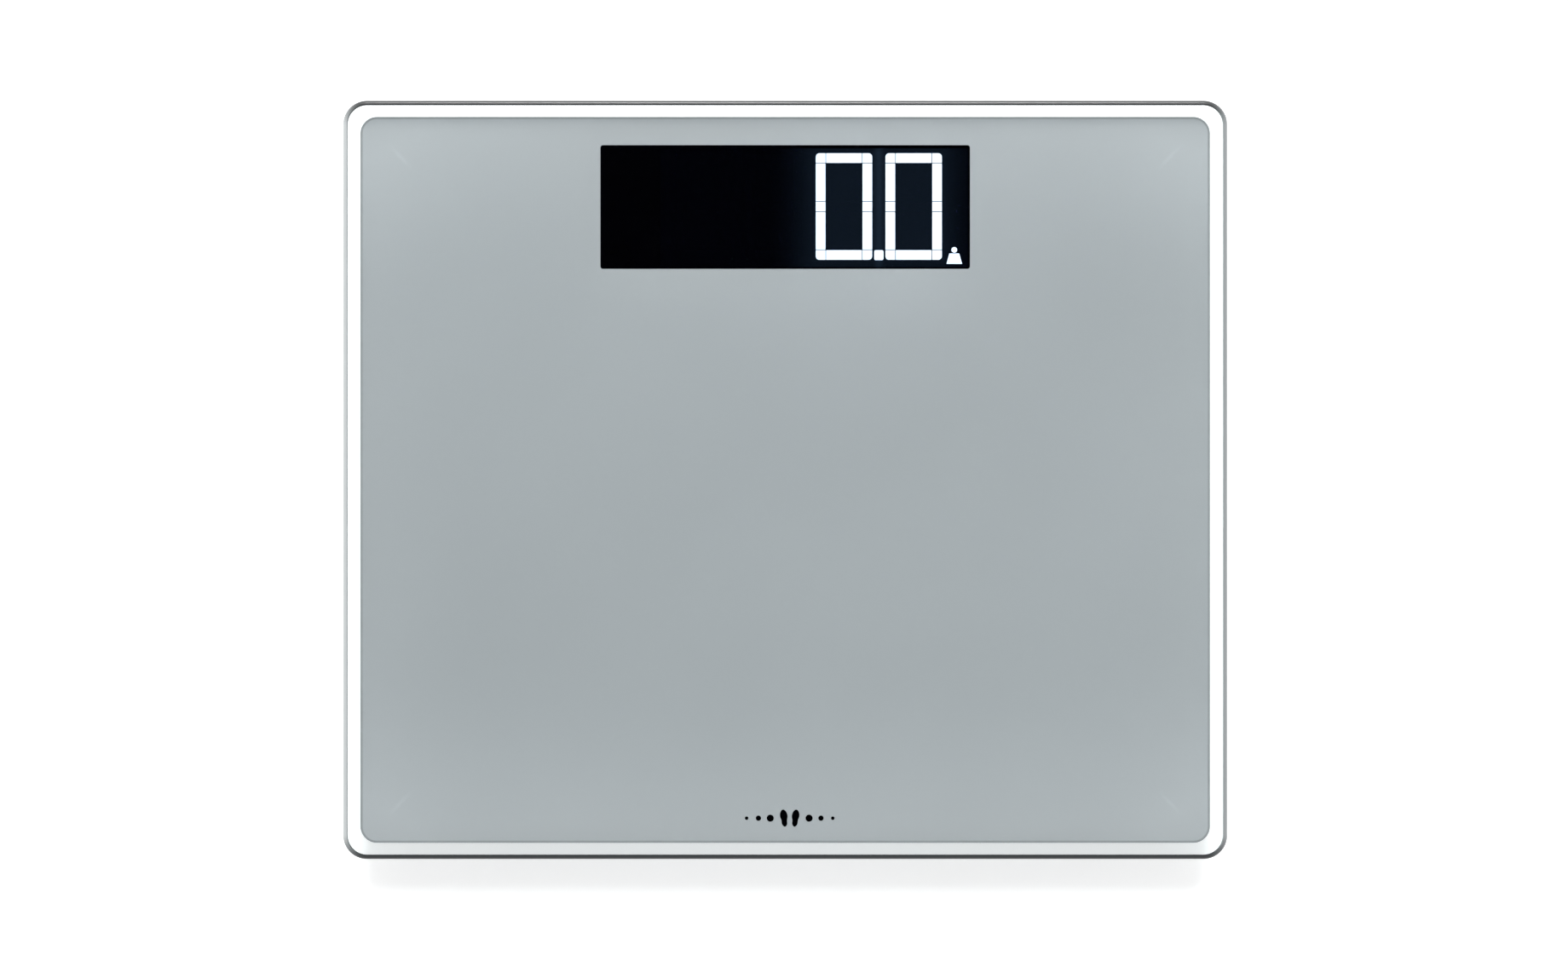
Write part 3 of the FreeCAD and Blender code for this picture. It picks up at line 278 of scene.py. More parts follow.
def groundEdge():
    # the edge of the glass after the grinding wheel: satin grey-green with fine lengthways scratches; the
    # tone of each side is painted light and shade, dark along the front and rear edges, light on the left and
    # mid grey on the right
    # front, rear, left and right are painted light and shade tones for the four sides of the edge
    look = {"front": "#3C4042", "rear": "#26282A", "left": "#DADFE0", "right": "#A8ADAF", "scratchMm": 0.4,
            "lampsPass": "#D8DCDE"}
    material, tree, shader = newFinish("groundGlassEdge", Roughness=0.38, IOR=1.52, Coat_Weight=0.25)
    normal = addNode(tree, "ShaderNodeNewGeometry").outputs["True Normal"]
    flat = addNode(tree, "ShaderNodeVectorMath", {0: normal, 1: (1, 1, 0)}, operation="MULTIPLY")
    facing = addNode(tree, "ShaderNodeVectorMath", {0: flat.outputs[0]}, operation="NORMALIZE")
    way = addNode(tree, "ShaderNodeSeparateXYZ", {0: facing.outputs[0]})
    sides = addNode(
        tree, "ShaderNodeMapRange", {"Value": way.outputs["X"], "From Min": -1.0, "From Max": 1.0})
    ends = addNode(
        tree, "ShaderNodeMapRange", {"Value": way.outputs["Y"], "From Min": -1.0, "From Max": 1.0})
    sidePaintedShade = addNode(tree, "ShaderNodeValToRGB", {0: sides.outputs[0]})
    setRamp(sidePaintedShade, (0.0, look["left"]), (1.0, look["right"]))
    endPaintedShade = addNode(tree, "ShaderNodeValToRGB", {0: ends.outputs[0]})
    setRamp(endPaintedShade, (0.0, look["front"]), (1.0, look["rear"]))
    long = addNode(tree, "ShaderNodeMath", {0: way.outputs["Y"]}, operation="ABSOLUTE")
    tone = addNode(
        tree, "ShaderNodeMix", {0: long.outputs[0], 6: sidePaintedShade.outputs[0], 7: endPaintedShade.outputs[0]},
        data_type="RGBA")
    scratches = addNode(
        tree, "ShaderNodeTexNoise",
        {"Vector": objectSpace(tree), "Scale": 1 / (look["scratchMm"] * mm), "Detail": 3.0, "Roughness": 0.6})
    bump = addNode(
        tree, "ShaderNodeBump", {"Strength": 0.12, "Distance": 0.08 * mm, "Height": scratches.outputs[0]})
    tree.links.new(tone.outputs[2], shader.inputs["Base Color"])
    tree.links.new(bump.outputs[0], shader.inputs["Normal"])
    passLamps(tree, shader, look["lampsPass"])
    return material


# middle is the print's own grey; edge and the three lifts set painted light near the glass edges and corners,
# rim is a painted shade line
enamel = {
    "insetWide": 7.1 * mm, "insetDeep": 6.65 * mm, "corner": 7 * mm, "thick": 0.06 * mm,
    "window": (156.1 * mm, 52.3 * mm), "windowUp": 0.3 * mm, "windowCorner": 1.1 * mm,
    "middle": "#AFB4B7", "edge": "#C1C6C9", "rim": "#A2A7A9", "paintedShadeRimWide": 0.9 * mm,
    "fadeDeep": 80 * mm, "fadeWide": 60 * mm, "endsPaintedLight": 0.75, "sidesPaintedLight": 0.15, "cornersPaintedLight": 0.35,
}


def backEnamel():
    # ceramic ink screen-printed and fired on the back of the glass: an even silver grey with a faint fired
    # grain;
    # painted light makes it a little lighter towards the edges and corners, and a painted shade line runs
    # round its outer edge
    look = {"grainMm": 0.6, "cloudMm": 90, "paintedCornerGlint": 0.07, "streakWide": 2 * mm, "streakAt": 10 * mm,
            "streakLong": 13 * mm}
    material, tree, shader = newFinish("firedBackEnamel", Roughness=0.42, IOR=1.5)
    place = objectSpace(tree)
    half = (glassHigh.x - enamel["insetWide"] - enamel["corner"],
            glassHigh.y - enamel["insetDeep"] - enamel["corner"], 1.0)
    positive = addNode(tree, "ShaderNodeVectorMath", {0: place}, operation="ABSOLUTE")
    past = addNode(tree, "ShaderNodeVectorMath", {0: positive.outputs[0], 1: half}, operation="SUBTRACT")
    outside = addNode(tree, "ShaderNodeVectorMath", {0: past.outputs[0], 1: (0, 0, 0)}, operation="MAXIMUM")
    away = addNode(tree, "ShaderNodeVectorMath", {0: outside.outputs[0]}, operation="LENGTH")
    split = addNode(tree, "ShaderNodeSeparateXYZ", {0: past.outputs[0]})
    larger = addNode(tree, "ShaderNodeMath", {0: split.outputs[0], 1: split.outputs[1]}, operation="MAXIMUM")
    inner = addNode(tree, "ShaderNodeMath", {0: larger.outputs[0], 1: 0.0}, operation="MINIMUM")
    signed = addNode(tree, "ShaderNodeMath", {0: away.outputs["Value"], 1: inner.outputs[0]}, operation="ADD")
    toEdge = addNode(
        tree, "ShaderNodeMath", {0: enamel["corner"], 1: signed.outputs[0]}, operation="SUBTRACT")
    # painted light: lighter towards the front and rear edges, a little towards the sides, and most in the
    # corners
    paintedLightRamps = []
    for axis, reach in ((0, enamel["fadeWide"]), (1, enamel["fadeDeep"])):
        near = addNode(
            tree, "ShaderNodeMapRange", {"Value": split.outputs[axis], "From Min": -reach, "From Max": 0.0})
        squared = addNode(tree, "ShaderNodeMath", {0: near.outputs[0], 1: 2.0}, operation="POWER")
        paintedLightRamps.append(squared.outputs[0])
    paintedCornerMask = addNode(tree, "ShaderNodeMath", {0: paintedLightRamps[0], 1: paintedLightRamps[1]}, operation="MULTIPLY")
    level = addNode(tree, "ShaderNodeMath", {0: paintedLightRamps[1], 1: enamel["endsPaintedLight"]}, operation="MULTIPLY")
    for value, lift in ((paintedLightRamps[0], enamel["sidesPaintedLight"]), (paintedCornerMask.outputs[0], enamel["cornersPaintedLight"])):
        level = addNode(
            tree, "ShaderNodeMath", {0: value, 1: lift, 2: level.outputs[0]}, operation="MULTIPLY_ADD")
    body = addNode(
        tree, "ShaderNodeMix", {0: level.outputs[0], 6: linear(enamel["middle"]), 7: linear(enamel["edge"])},
        data_type="RGBA")
    # a faint painted highlight streak along the diagonal of each corner, standing in for light gathered in
    # from the glass's corner
    apart = addNode(tree, "ShaderNodeMath", {0: split.outputs[0], 1: split.outputs[1]}, operation="SUBTRACT")
    off = addNode(tree, "ShaderNodeMath", {0: apart.outputs[0]}, operation="ABSOLUTE")
    thin = addNode(
        tree, "ShaderNodeMapRange", {"Value": off.outputs[0], "From Max": look["streakWide"], "To Min": 1.0,
                                     "To Max": 0.0}, interpolation_type="SMOOTHSTEP")
    far = addNode(tree, "ShaderNodeMath", {0: split.outputs[0], 1: look["streakAt"]}, operation="ADD")
    offset = addNode(tree, "ShaderNodeMath", {0: far.outputs[0]}, operation="ABSOLUTE")
    short = addNode(
        tree, "ShaderNodeMapRange",
        {"Value": offset.outputs[0], "From Max": look["streakLong"] / 2, "To Min": 1.0, "To Max": 0.0},
        interpolation_type="SMOOTHSTEP")
    paintedCornerGlint = addNode(tree, "ShaderNodeMath", {0: thin.outputs[0], 1: short.outputs[0]}, operation="MULTIPLY")
    # the fired grain, and broad clouds that a squeegee leaves
    grain = addNode(
        tree, "ShaderNodeTexNoise", {"Vector": place, "Scale": 1 / (look["grainMm"] * mm), "Detail": 2.0})
    clouds = addNode(
        tree, "ShaderNodeTexNoise", {"Vector": place, "Scale": 1 / (look["cloudMm"] * mm), "Detail": 1.0})
    blend = addNode(
        tree, "ShaderNodeMix", {0: 0.35, 2: clouds.outputs[0], 3: grain.outputs[0]}, data_type="FLOAT")
    shade = addNode(
        tree, "ShaderNodeMapRange", {"Value": blend.outputs[0], "From Min": 0.3, "From Max": 0.7,
                                     "To Min": 0.975, "To Max": 1.02})
    lifted = addNode(
        tree, "ShaderNodeMath", {0: paintedCornerGlint.outputs[0], 1: look["paintedCornerGlint"], 2: shade.outputs[0]},
        operation="MULTIPLY_ADD")
    toned = addNode(
        tree, "ShaderNodeVectorMath", {0: body.outputs[2], "Scale": lifted.outputs[0]}, operation="SCALE")
    # a painted shade line, about a millimetre wide, along the print's outer edge
    rim = addNode(
        tree, "ShaderNodeMapRange",
        {"Value": toEdge.outputs[0], "From Min": enamel["paintedShadeRimWide"] * 0.8, "From Max": enamel["paintedShadeRimWide"] * 1.2,
         "To Min": 1.0, "To Max": 0.0})
    final = addNode(
        tree, "ShaderNodeMix", {0: rim.outputs[0], 6: toned.outputs[0], 7: linear(enamel["rim"])},
        data_type="RGBA")
    rough = addNode(
        tree, "ShaderNodeMapRange", {"Value": grain.outputs[0], "To Min": 0.36, "To Max": 0.5})
    tree.links.new(final.outputs[2], shader.inputs["Base Color"])
    tree.links.new(rough.outputs[0], shader.inputs["Roughness"])
    return material


def blackInk():
    # dense black screen-print ink on the back of a clear layer: no air gap, so nothing shines back from it
    material, tree, shader = newFinish("blackScreenPrint", Roughness=0.6, Specular_IOR_Level=0.0)
    dots = addNode(
        tree, "ShaderNodeTexNoise", {"Vector": objectSpace(tree), "Scale": 1 / (0.5 * mm), "Detail": 2.0})
    tone = addNode(tree, "ShaderNodeValToRGB", {0: dots.outputs[0]})
    setRamp(tone, (0.3, "#010103"), (0.7, "#030305"))
    tree.links.new(tone.outputs[0], shader.inputs["Base Color"])
    return material


display = {
    "digitWide": 24.1 * mm, "digitHigh": 45.3 * mm, "pitch": 29.45 * mm, "lastX": 54.3 * mm,
    "middleY": 115.55 * mm, "stroke": 4.35 * mm, "seam": 0.24 * mm, "cornerRadius": 1.7 * mm,
    "litDigits": 2, "brightness": 5.6, "filmPass": "#B9BFC6",
}


def smokedFilm():
    # smoked polycarbonate film in contact with the glass: passes about a quarter of the light; round the lit
    # digits it has a painted blue grey glow, emitted in place of the light that its haze would scatter from
    # them
    look = {"paintedHazeGlow": "#35485C", "reach": 22 * mm, "strength": 0.085, "between": 3 * mm, "betweenPaintedGlow": 2.2}
    material, tree, shader = newFinish(
        "smokedFilterFilm", Base_Color=linear("#010103"), Roughness=0.08, Specular_IOR_Level=0.0)
    middle = (display["lastX"] - display["pitch"] / 2, display["middleY"], 0)
    half = ((display["digitWide"] + display["pitch"]) / 2, display["digitHigh"] / 2, 1.0)
    offset = addNode(tree, "ShaderNodeVectorMath", {0: objectSpace(tree), 1: middle}, operation="SUBTRACT")
    positive = addNode(tree, "ShaderNodeVectorMath", {0: offset.outputs[0]}, operation="ABSOLUTE")
    past = addNode(tree, "ShaderNodeVectorMath", {0: positive.outputs[0], 1: half}, operation="SUBTRACT")
    outside = addNode(tree, "ShaderNodeVectorMath", {0: past.outputs[0], 1: (0, 0, 0)}, operation="MAXIMUM")
    away = addNode(tree, "ShaderNodeVectorMath", {0: outside.outputs[0]}, operation="LENGTH")
    fall = addNode(
        tree, "ShaderNodeMapRange",
        {"Value": away.outputs["Value"], "From Max": look["reach"], "To Min": 1.0, "To Max": 0.0})
    level = addNode(tree, "ShaderNodeMath", {0: fall.outputs[0], 1: 2.4}, operation="POWER")
    # the painted glow is brighter in the narrow gap between the two lit digits
    across = addNode(tree, "ShaderNodeSeparateXYZ", {0: positive.outputs[0]})
    gap = addNode(
        tree, "ShaderNodeMapRange",
        {"Value": across.outputs["X"], "From Max": look["between"], "To Min": look["betweenPaintedGlow"],
         "To Max": 1.0},
        interpolation_type="SMOOTHSTEP")
    lifted = addNode(tree, "ShaderNodeMath", {0: level.outputs[0], 1: gap.outputs[0]}, operation="MULTIPLY")
    paintedHazeGlow = addNode(
        tree, "ShaderNodeVectorMath", {0: linear(look["paintedHazeGlow"])[:3], "Scale": lifted.outputs[0]},
        operation="SCALE")
    tree.links.new(paintedHazeGlow.outputs[0], shader.inputs["Emission Color"])
    shader.inputs["Emission Strength"].default_value = look["strength"]
    clear = addNode(tree, "ShaderNodeBsdfTransparent", {"Color": linear(display["filmPass"])})
    mixed = addNode(tree, "ShaderNodeAddShader", {0: shader.outputs[0], 1: clear.outputs[0]})
    tree.links.new(mixed.outputs[0], tree.nodes["Material Output"].inputs["Surface"])
    return material


def litDiffuser():
    # milky acrylic lit from behind by its LED: white, with a faint random ripple in its tint
    material, tree, shader = newFinish(
        "litMilkyDiffuser", Base_Color=linear("#F4F6F8"), Roughness=0.5,
        Emission_Strength=display["brightness"])
    ripple = addNode(tree, "ShaderNodeTexNoise", {"Vector": objectSpace(tree), "Scale": 1 / (6 * mm)})
    tone = addNode(tree, "ShaderNodeValToRGB", {0: ripple.outputs[0]})
    setRamp(tone, (0.3, "#F4F8FF"), (0.7, "#FFFFFF"))
    tree.links.new(tone.outputs[0], shader.inputs["Emission Color"])
    return material


def darkDiffuser():
    # the same diffuser unlit, coloured near black as painted shade so that it vanishes behind the smoked film
    material, tree, shader = newFinish("unlitDiffuserPaintedShade", Roughness=0.9, IOR=1.2)
    ripple = addNode(tree, "ShaderNodeTexNoise", {"Vector": objectSpace(tree), "Scale": 1 / (2 * mm)})
    tone = addNode(tree, "ShaderNodeValToRGB", {0: ripple.outputs[0]})
    setRamp(tone, (0.3, "#040405"), (0.7, "#060608"))
    tree.links.new(tone.outputs[0], shader.inputs["Base Color"])
    return material


# Finishes of the mechanical and electronic pieces

def moulded(name, light, dark, roughness=0.45, ior=1.53, grainMm=0.35, depth=0.02):
    # injection-moulded plastic from a spark-eroded tool: even colour, fine grain, a soft broad highlight
    material, tree, shader = newFinish(name, IOR=ior)
    place = objectSpace(tree)
    grain = addNode(
        tree, "ShaderNodeTexNoise",
        {"Vector": place, "Scale": 1 / (grainMm * mm), "Detail": 4.0, "Roughness": 0.65})
    flow = addNode(tree, "ShaderNodeTexNoise", {"Vector": place, "Scale": 1 / (35 * mm), "Detail": 2.0})
    mixed = addNode(
        tree, "ShaderNodeMix", {0: 0.3, 2: flow.outputs[0], 3: grain.outputs[0]}, data_type="FLOAT")
    tone = addNode(tree, "ShaderNodeValToRGB", {0: mixed.outputs[0]})
    setRamp(tone, (0.35, dark), (0.65, light))
    rough = addNode(
        tree, "ShaderNodeMapRange",
        {"Value": grain.outputs[0], "To Min": roughness - 0.08, "To Max": roughness + 0.1})
    soft = addNode(tree, "ShaderNodeBevel", {"Radius": 0.25 * mm}, samples=4)
    bump = addNode(
        tree, "ShaderNodeBump",
        {"Strength": 0.4, "Distance": depth * mm, "Height": grain.outputs[0], "Normal": soft.outputs[0]})
    tree.links.new(tone.outputs[0], shader.inputs["Base Color"])
    tree.links.new(rough.outputs[0], shader.inputs["Roughness"])
    tree.links.new(bump.outputs[0], shader.inputs["Normal"])
    return material


def metal(name, light, dark, roughness=0.3, layMm=(6.0, 0.25, 0.25)):
    # plated or rolled steel with a directional lay
    material, tree, shader = newFinish(name, Metallic=1.0)
    scale = addNode(
        tree, "ShaderNodeMapping",
        {"Vector": objectSpace(tree), "Scale": tuple(1 / (size * mm) for size in layMm)})
    lay = addNode(tree, "ShaderNodeTexNoise", {"Vector": scale.outputs[0], "Scale": 1.0, "Detail": 4.0})
    tone = addNode(tree, "ShaderNodeValToRGB", {0: lay.outputs[0]})
    setRamp(tone, (0.3, dark), (0.7, light))
    rough = addNode(
        tree, "ShaderNodeMapRange",
        {"Value": lay.outputs[0], "To Min": roughness - 0.1, "To Max": roughness + 0.12})
    bump = addNode(
        tree, "ShaderNodeBump", {"Strength": 0.15, "Distance": 0.01 * mm, "Height": lay.outputs[0]})
    tree.links.new(tone.outputs[0], shader.inputs["Base Color"])
    tree.links.new(rough.outputs[0], shader.inputs["Roughness"])
    tree.links.new(bump.outputs[0], shader.inputs["Normal"])
    return material


def softRubber():
    # compression-moulded thermoplastic rubber: matt, faintly dusty, slightly pitted
    material, tree, shader = newFinish("softFootRubber", IOR=1.5, Sheen_Weight=0.15, Sheen_Roughness=0.6)
    place = objectSpace(tree)
    pits = addNode(tree, "ShaderNodeTexVoronoi", {"Vector": place, "Scale": 1 / (0.8 * mm)})
    dust = addNode(tree, "ShaderNodeTexNoise", {"Vector": place, "Scale": 1 / (7 * mm), "Detail": 5.0})
    tone = addNode(tree, "ShaderNodeValToRGB", {0: dust.outputs[0]})
    setRamp(tone, (0.35, "#2C2E30"), (0.7, "#434648"))
    rough = addNode(tree, "ShaderNodeMapRange", {"Value": dust.outputs[0], "To Min": 0.65, "To Max": 0.9})
    bump = addNode(
        tree, "ShaderNodeBump", {"Strength": 0.3, "Distance": 0.03 * mm, "Height": pits.outputs["Distance"]})
    tree.links.new(tone.outputs[0], shader.inputs["Base Color"])
    tree.links.new(rough.outputs[0], shader.inputs["Roughness"])
    tree.links.new(bump.outputs[0], shader.inputs["Normal"])
    return material


def circuitBoard():
    # glass-epoxy laminate under green solder mask: the copper tracks show as lighter lines
    material, tree, shader = newFinish("greenSolderMask", Roughness=0.32, IOR=1.55, Coat_Weight=0.4)
    place = objectSpace(tree)
    tracks = addNode(
        tree, "ShaderNodeTexBrick",
        {"Vector": place, "Scale": 1 / (6 * mm), "Mortar Size": 0.06, "Color1": linear("#1B5A33"),
         "Color2": linear("#1D6037"), "Mortar": linear("#3E8A55")}, offset=0.37)
    weave = addNode(tree, "ShaderNodeTexNoise", {"Vector": place, "Scale": 1 / (1.2 * mm), "Detail": 3.0})
    shade = addNode(tree, "ShaderNodeMapRange", {"Value": weave.outputs[0], "To Min": 0.85, "To Max": 1.1})
    toned = addNode(
        tree, "ShaderNodeVectorMath", {0: tracks.outputs["Color"], "Scale": shade.outputs[0]},
        operation="SCALE")
    bump = addNode(
        tree, "ShaderNodeBump", {"Strength": 0.4, "Distance": 0.03 * mm, "Height": tracks.outputs["Fac"]})
    tree.links.new(toned.outputs[0], shader.inputs["Base Color"])
    tree.links.new(bump.outputs[0], shader.inputs["Normal"])
    return material


def cellSleeve(name, nubX, tailX):
    # steel can in a printed shrink sleeve: bare steel at both ends, a copper-coloured band by the nub
    material, tree, shader = newFinish(name, Roughness=0.3, Coat_Weight=0.3, Metallic=0.35)
    x = addNode(tree, "ShaderNodeSeparateXYZ", {0: objectSpace(tree)}).outputs["X"]
    along = addNode(tree, "ShaderNodeMapRange", {"Value": x, "From Min": tailX, "From Max": nubX})
    bands = addNode(tree, "ShaderNodeValToRGB", {0: along.outputs[0]})
    bands.color_ramp.interpolation = "CONSTANT"
    setRamp(bands, (0.0, "#B9BCBE"), (0.03, "#2B333D"), (0.72, "#B8793F"), (0.95, "#C4C7C9"))
    smudge = addNode(
        tree, "ShaderNodeTexNoise", {"Vector": objectSpace(tree), "Scale": 1 / (5 * mm), "Detail": 3.0})
    rough = addNode(tree, "ShaderNodeMapRange", {"Value": smudge.outputs[0], "To Min": 0.2, "To Max": 0.42})
    tree.links.new(bands.outputs[0], shader.inputs["Base Color"])
    tree.links.new(rough.outputs[0], shader.inputs["Roughness"])
    return material


glass = floatGlass()
edge = groundEdge()
ink = blackInk()
lit = litDiffuser()
unlit = darkDiffuser()
housingAbs = moulded("lightGreyAbs", "#D3D6D8", "#CBCED0", 0.48)
doorAbs = moulded("lightGreyAbsDoor", "#D0D3D5", "#C8CBCD", 0.44)
capAbs = moulded("greyAbsFootCap", "#BFC3C5", "#B5B9BB", 0.5)
buttonAbs = moulded("midGreyAbs", "#8B9194", "#7F8588", 0.4)
blackNylon = moulded("blackGlassFilledNylon", "#232426", "#17181A", 0.55, 1.53, 0.25)
blackReflector = moulded("mattBlackPolycarbonate", "#050506", "#030304", 0.9, 1.2)
naturalNylon = moulded("naturalNylon", "#ECE7D8", "#DFD9C8", 0.4)
chipEpoxy = moulded("mouldedEpoxy", "#222325", "#191A1B", 0.6, 1.55, 0.2)
foamTape = moulded("acrylicFoamTape", "#2B2C2E", "#1D1E1F", 0.85, 1.47, 0.8, 0.08)
channelPvc = moulded("whitePvcChannel", "#E3E5E5", "#DADCDC", 0.4, 1.53, 2.0, 0.02)
siliconePotting = moulded("whiteSiliconePotting", "#F0F0EC", "#E2E2DC", 0.35, 1.41, 2.5, 0.1)
ledBody = moulded("whiteLedPackage", "#F4EFD6", "#EADFA8", 0.5)
canBody = moulded("componentCans", "#4F4A44", "#38342F", 0.4)
redPvc = moulded("redPvcInsulation", "#C4292E", "#AE2026", 0.38, 1.53, 3.0, 0.01)
blackPvc = moulded("blackPvcInsulation", "#1F2022", "#161719", 0.38, 1.53, 3.0, 0.01)
whitePvc = moulded("whitePvcInsulation", "#ECEDEA", "#DCDDDA", 0.38, 1.53, 3.0, 0.01)
zincSteel = metal("zincPlatedSteel", "#BFC3C6", "#9DA1A4", 0.32, (0.4, 0.4, 0.4))
nickelSteel = metal("nickelPlatedSteel", "#D6D4CC", "#B9B7AF", 0.22, (0.5, 0.5, 0.5))
cellSteel = metal("rolledSpringSteel", "#AEB2B5", "#8B8F92", 0.36)
rubber = softRubber()
board = circuitBoard()
print("finishes made:", len(bpy.data.materials))


# CAD pieces that keep their shape get their real finish

finishes = {
    "housing_bond_tape": foamTape, "display_housing": housingAbs, "rear_cover": housingAbs,
    "battery_door": doorAbs, "unit_button": buttonAbs, "unit_switch": blackNylon,
    "display_reflector": blackReflector, "segment_leds": ledBody, "led_board": board, "main_board": board,
    "board_header_pins": nickelSteel, "weighing_chip": chipEpoxy, "board_components": canBody,
    "lead_connectors": naturalNylon, "battery_plates": nickelSteel, "battery_lead_red": redPvc,
    "battery_lead_black": blackPvc, "foot_bond_pads": foamTape, "display_filter": smokedFilm(),
}
for corner in corners:
    finishes[f"foot_carrier_{corner}"] = housingAbs
    finishes[f"load_cell_{corner}"] = cellSteel
    finishes[f"strain_gauge_{corner}"] = siliconePotting
    finishes[f"foot_cap_{corner}"] = capAbs
    finishes[f"foot_pad_{corner}"] = rubber
    finishes[f"cable_channel_{corner}"] = channelPvc
for number in range(1, 5):
    low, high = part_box(f"battery_cell_{number}")
    nub, tail = (high.x, low.x) if number % 2 else (low.x, high.x)
    finishes[f"battery_cell_{number}"] = cellSleeve(f"shrinkSleeve{number}", nub, tail)
for name, material in finishes.items():
    piece = nodes[name]
    piece.data.materials.clear()
    piece.data.materials.append(material)
print("CAD pieces finished:", len(finishes))


# The glass

def glassPlate():
    # a flat plate with a pencil-ground edge; the rounding is drawn as level rings from the bottom up
    size = {"corner": 10 * mm, "round": 1.7 * mm, "steps": 16}
    wide, deep = glassHigh.x - glassLow.x, glassHigh.y - glassLow.y
    low, high = glassLow.z, glassHigh.z
    rings = []
    turns = 6
    for half in (0, 1):
        for turn in range(turns + 1):
            angle = turn / turns * math.pi / 2
            if half == 0:
                rings.append((size["round"] * (1 - math.sin(angle)), low + 1.0 * mm * (1 - math.cos(angle))))
            else:
                rings.append((size["round"] * (1 - math.cos(angle)), high - 1.6 * mm * (1 - math.sin(angle))))
    shape = bmesh.new()
    loops = []
    for inset, z in rings:
        outline = roundedLoop(wide - 2 * inset, deep - 2 * inset, size["corner"] - inset, steps=size["steps"])
        loops.append([shape.verts.new((x, y, z)) for x, y in outline])
    for lower, upper in zip(loops, loops[1:]):
        for i in range(len(lower)):
            j = (i + 1) % len(lower)
            face = shape.faces.new((lower[i], lower[j], upper[j], upper[i]))
            face.smooth = True
            face.material_index = 1
    caps = [shape.faces.new(list(reversed(loops[0]))), shape.faces.new(loops[-1])]
    for cap in caps:
        for rim in cap.edges:
            rim.smooth = False
    bmesh.ops.recalc_face_normals(shape, faces=shape.faces)
    mesh = bpy.data.meshes.new("glassPlate")
    shape.to_mesh(mesh)
    shape.free()
    piece = addPiece(mesh, "glassPlate", glass, edge)
    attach(piece, "platform")
    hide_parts("glass_platform")


def enamelPrint():
    # the grey print on the back of the glass, open at the display window
    wide = glassHigh.x - glassLow.x - 2 * enamel["insetWide"]
    deep = glassHigh.y - glassLow.y - 2 * enamel["insetDeep"]
    middle = (0, (filmLow.y + filmHigh.y) / 2 + enamel["windowUp"])
    loops = [
        roundedLoop(wide, deep, enamel["corner"], steps=12),
        roundedLoop(*enamel["window"], enamel["windowCorner"], middle, steps=6),
    ]
    half = enamel["thick"] / 2
    mesh = flatPlate("enamelPrint", loops, glassLow.z - half, glassLow.z + half)
    piece = addPiece(mesh, "enamelPrint", backEnamel())
    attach(piece, "platform")


def displayMask():
    # black print on the front of the film, open only over the reflector block
    low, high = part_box("display_reflector")
    step = 2.2 * mm
    opening = [(low.x + step, low.y + step), (high.x - step, low.y + step),
               (high.x - step, high.y - step), (low.x + step, high.y - step)]
    outline = roundedLoop(filmHigh.x - filmLow.x, filmHigh.y - filmLow.y, 1.5 * mm,
                          ((filmLow.x + filmHigh.x) / 2, (filmLow.y + filmHigh.y) / 2))
    mesh = flatPlate("displayMask", [outline, opening], filmHigh.z + 0.02 * mm, filmHigh.z + 0.05 * mm)
    piece = addPiece(mesh, "displayMask", ink)
    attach(piece, "platform")


def standingMark():
    # a plain pictogram of two foot soles with three dots each side, printed in black near the front
    mark = {"middle": (1.9 * mm, -142.9 * mm), "soleLong": 7.2 * mm, "soleWide": 3.6 * mm, "apart": 4.8 * mm,
            "waist": 0.26, "heel": 0.84, "tilt": 0.1, "dots": 3, "dotStep": 5.0 * mm, "dotRadius": 1.5 * mm,
            "firstDot": 8.2 * mm}
    loops = []
    cx, cy = mark["middle"]
    for side in (-1, 1):
        # a round ball, a narrow waist and a smaller heel, toes turned slightly out
        sole = []
        for step in range(48):
            angle = step / 48 * math.tau
            up = math.sin(angle)
            width = (mark["heel"] + (1 - mark["heel"]) * (up + 1) / 2) * mark["soleWide"] / 2
            width *= 1 - mark["waist"] * math.exp(-((up + 0.25) / 0.32) ** 2)
            y = up * mark["soleLong"] / 2
            x = side * (mark["apart"] / 2 + mark["tilt"] * y) + width * math.cos(angle)
            sole.append((cx + x, cy + y))
        loops.append(sole)
        for dot in range(mark["dots"]):
            x = cx + side * (mark["firstDot"] + dot * mark["dotStep"])
            radius = mark["dotRadius"] * (1 - 0.25 * dot)
            loops.append(disc(x, cy, radius))
    top = glassLow.z + enamel["thick"]
    mesh = flatPlate("standingMark", loops, top, top + 0.03 * mm)
    piece = addPiece(mesh, "standingMark", ink)
    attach(piece, "platform")


# The digits

def cellOutline(middle, wide, high, rounding=None):
    # one cell of a digit; rounding names the outer corner that is rounded, as signs of x and y
    x, y = middle
    points = []
    for sx, sy in ((1, 1), (-1, 1), (-1, -1), (1, -1)):
        px, py = x + sx * wide / 2, y + sy * high / 2
        if rounding != (sx, sy):
            points.append((px, py))
            continue
        radius = display["cornerRadius"]
        start = math.atan2(sy, sx) - math.pi / 4
        for step in range(9):
            angle = start + step / 8 * math.pi / 2
            points.append((px - sx * radius + radius * math.cos(angle),
                           py - sy * radius + radius * math.sin(angle)))
    return points


def digitCells(middleX):
    # thirteen cells: corners, bars, the two side middles and the centre bar
    wide, high, stroke, seam = (display[key] for key in ("digitWide", "digitHigh", "stroke", "seam"))
    cells = []
    for row in (-2, -1, 0, 1, 2):
        for column in (-1, 0, 1):
            if row % 2 and column == 0:
                continue
            x = middleX + column * (wide - stroke) / 2
            y = display["middleY"] + row * (high - stroke) / 4
            across = (wide - 2 * stroke if column == 0 else stroke) - seam
            up = ((high - 3 * stroke) / 2 if row % 2 else stroke) - seam
            corner = (column, row // 2) if abs(row) == 2 and column else None
            cells.append(((column, row), cellOutline((x, y), across, up, corner)))
    return cells


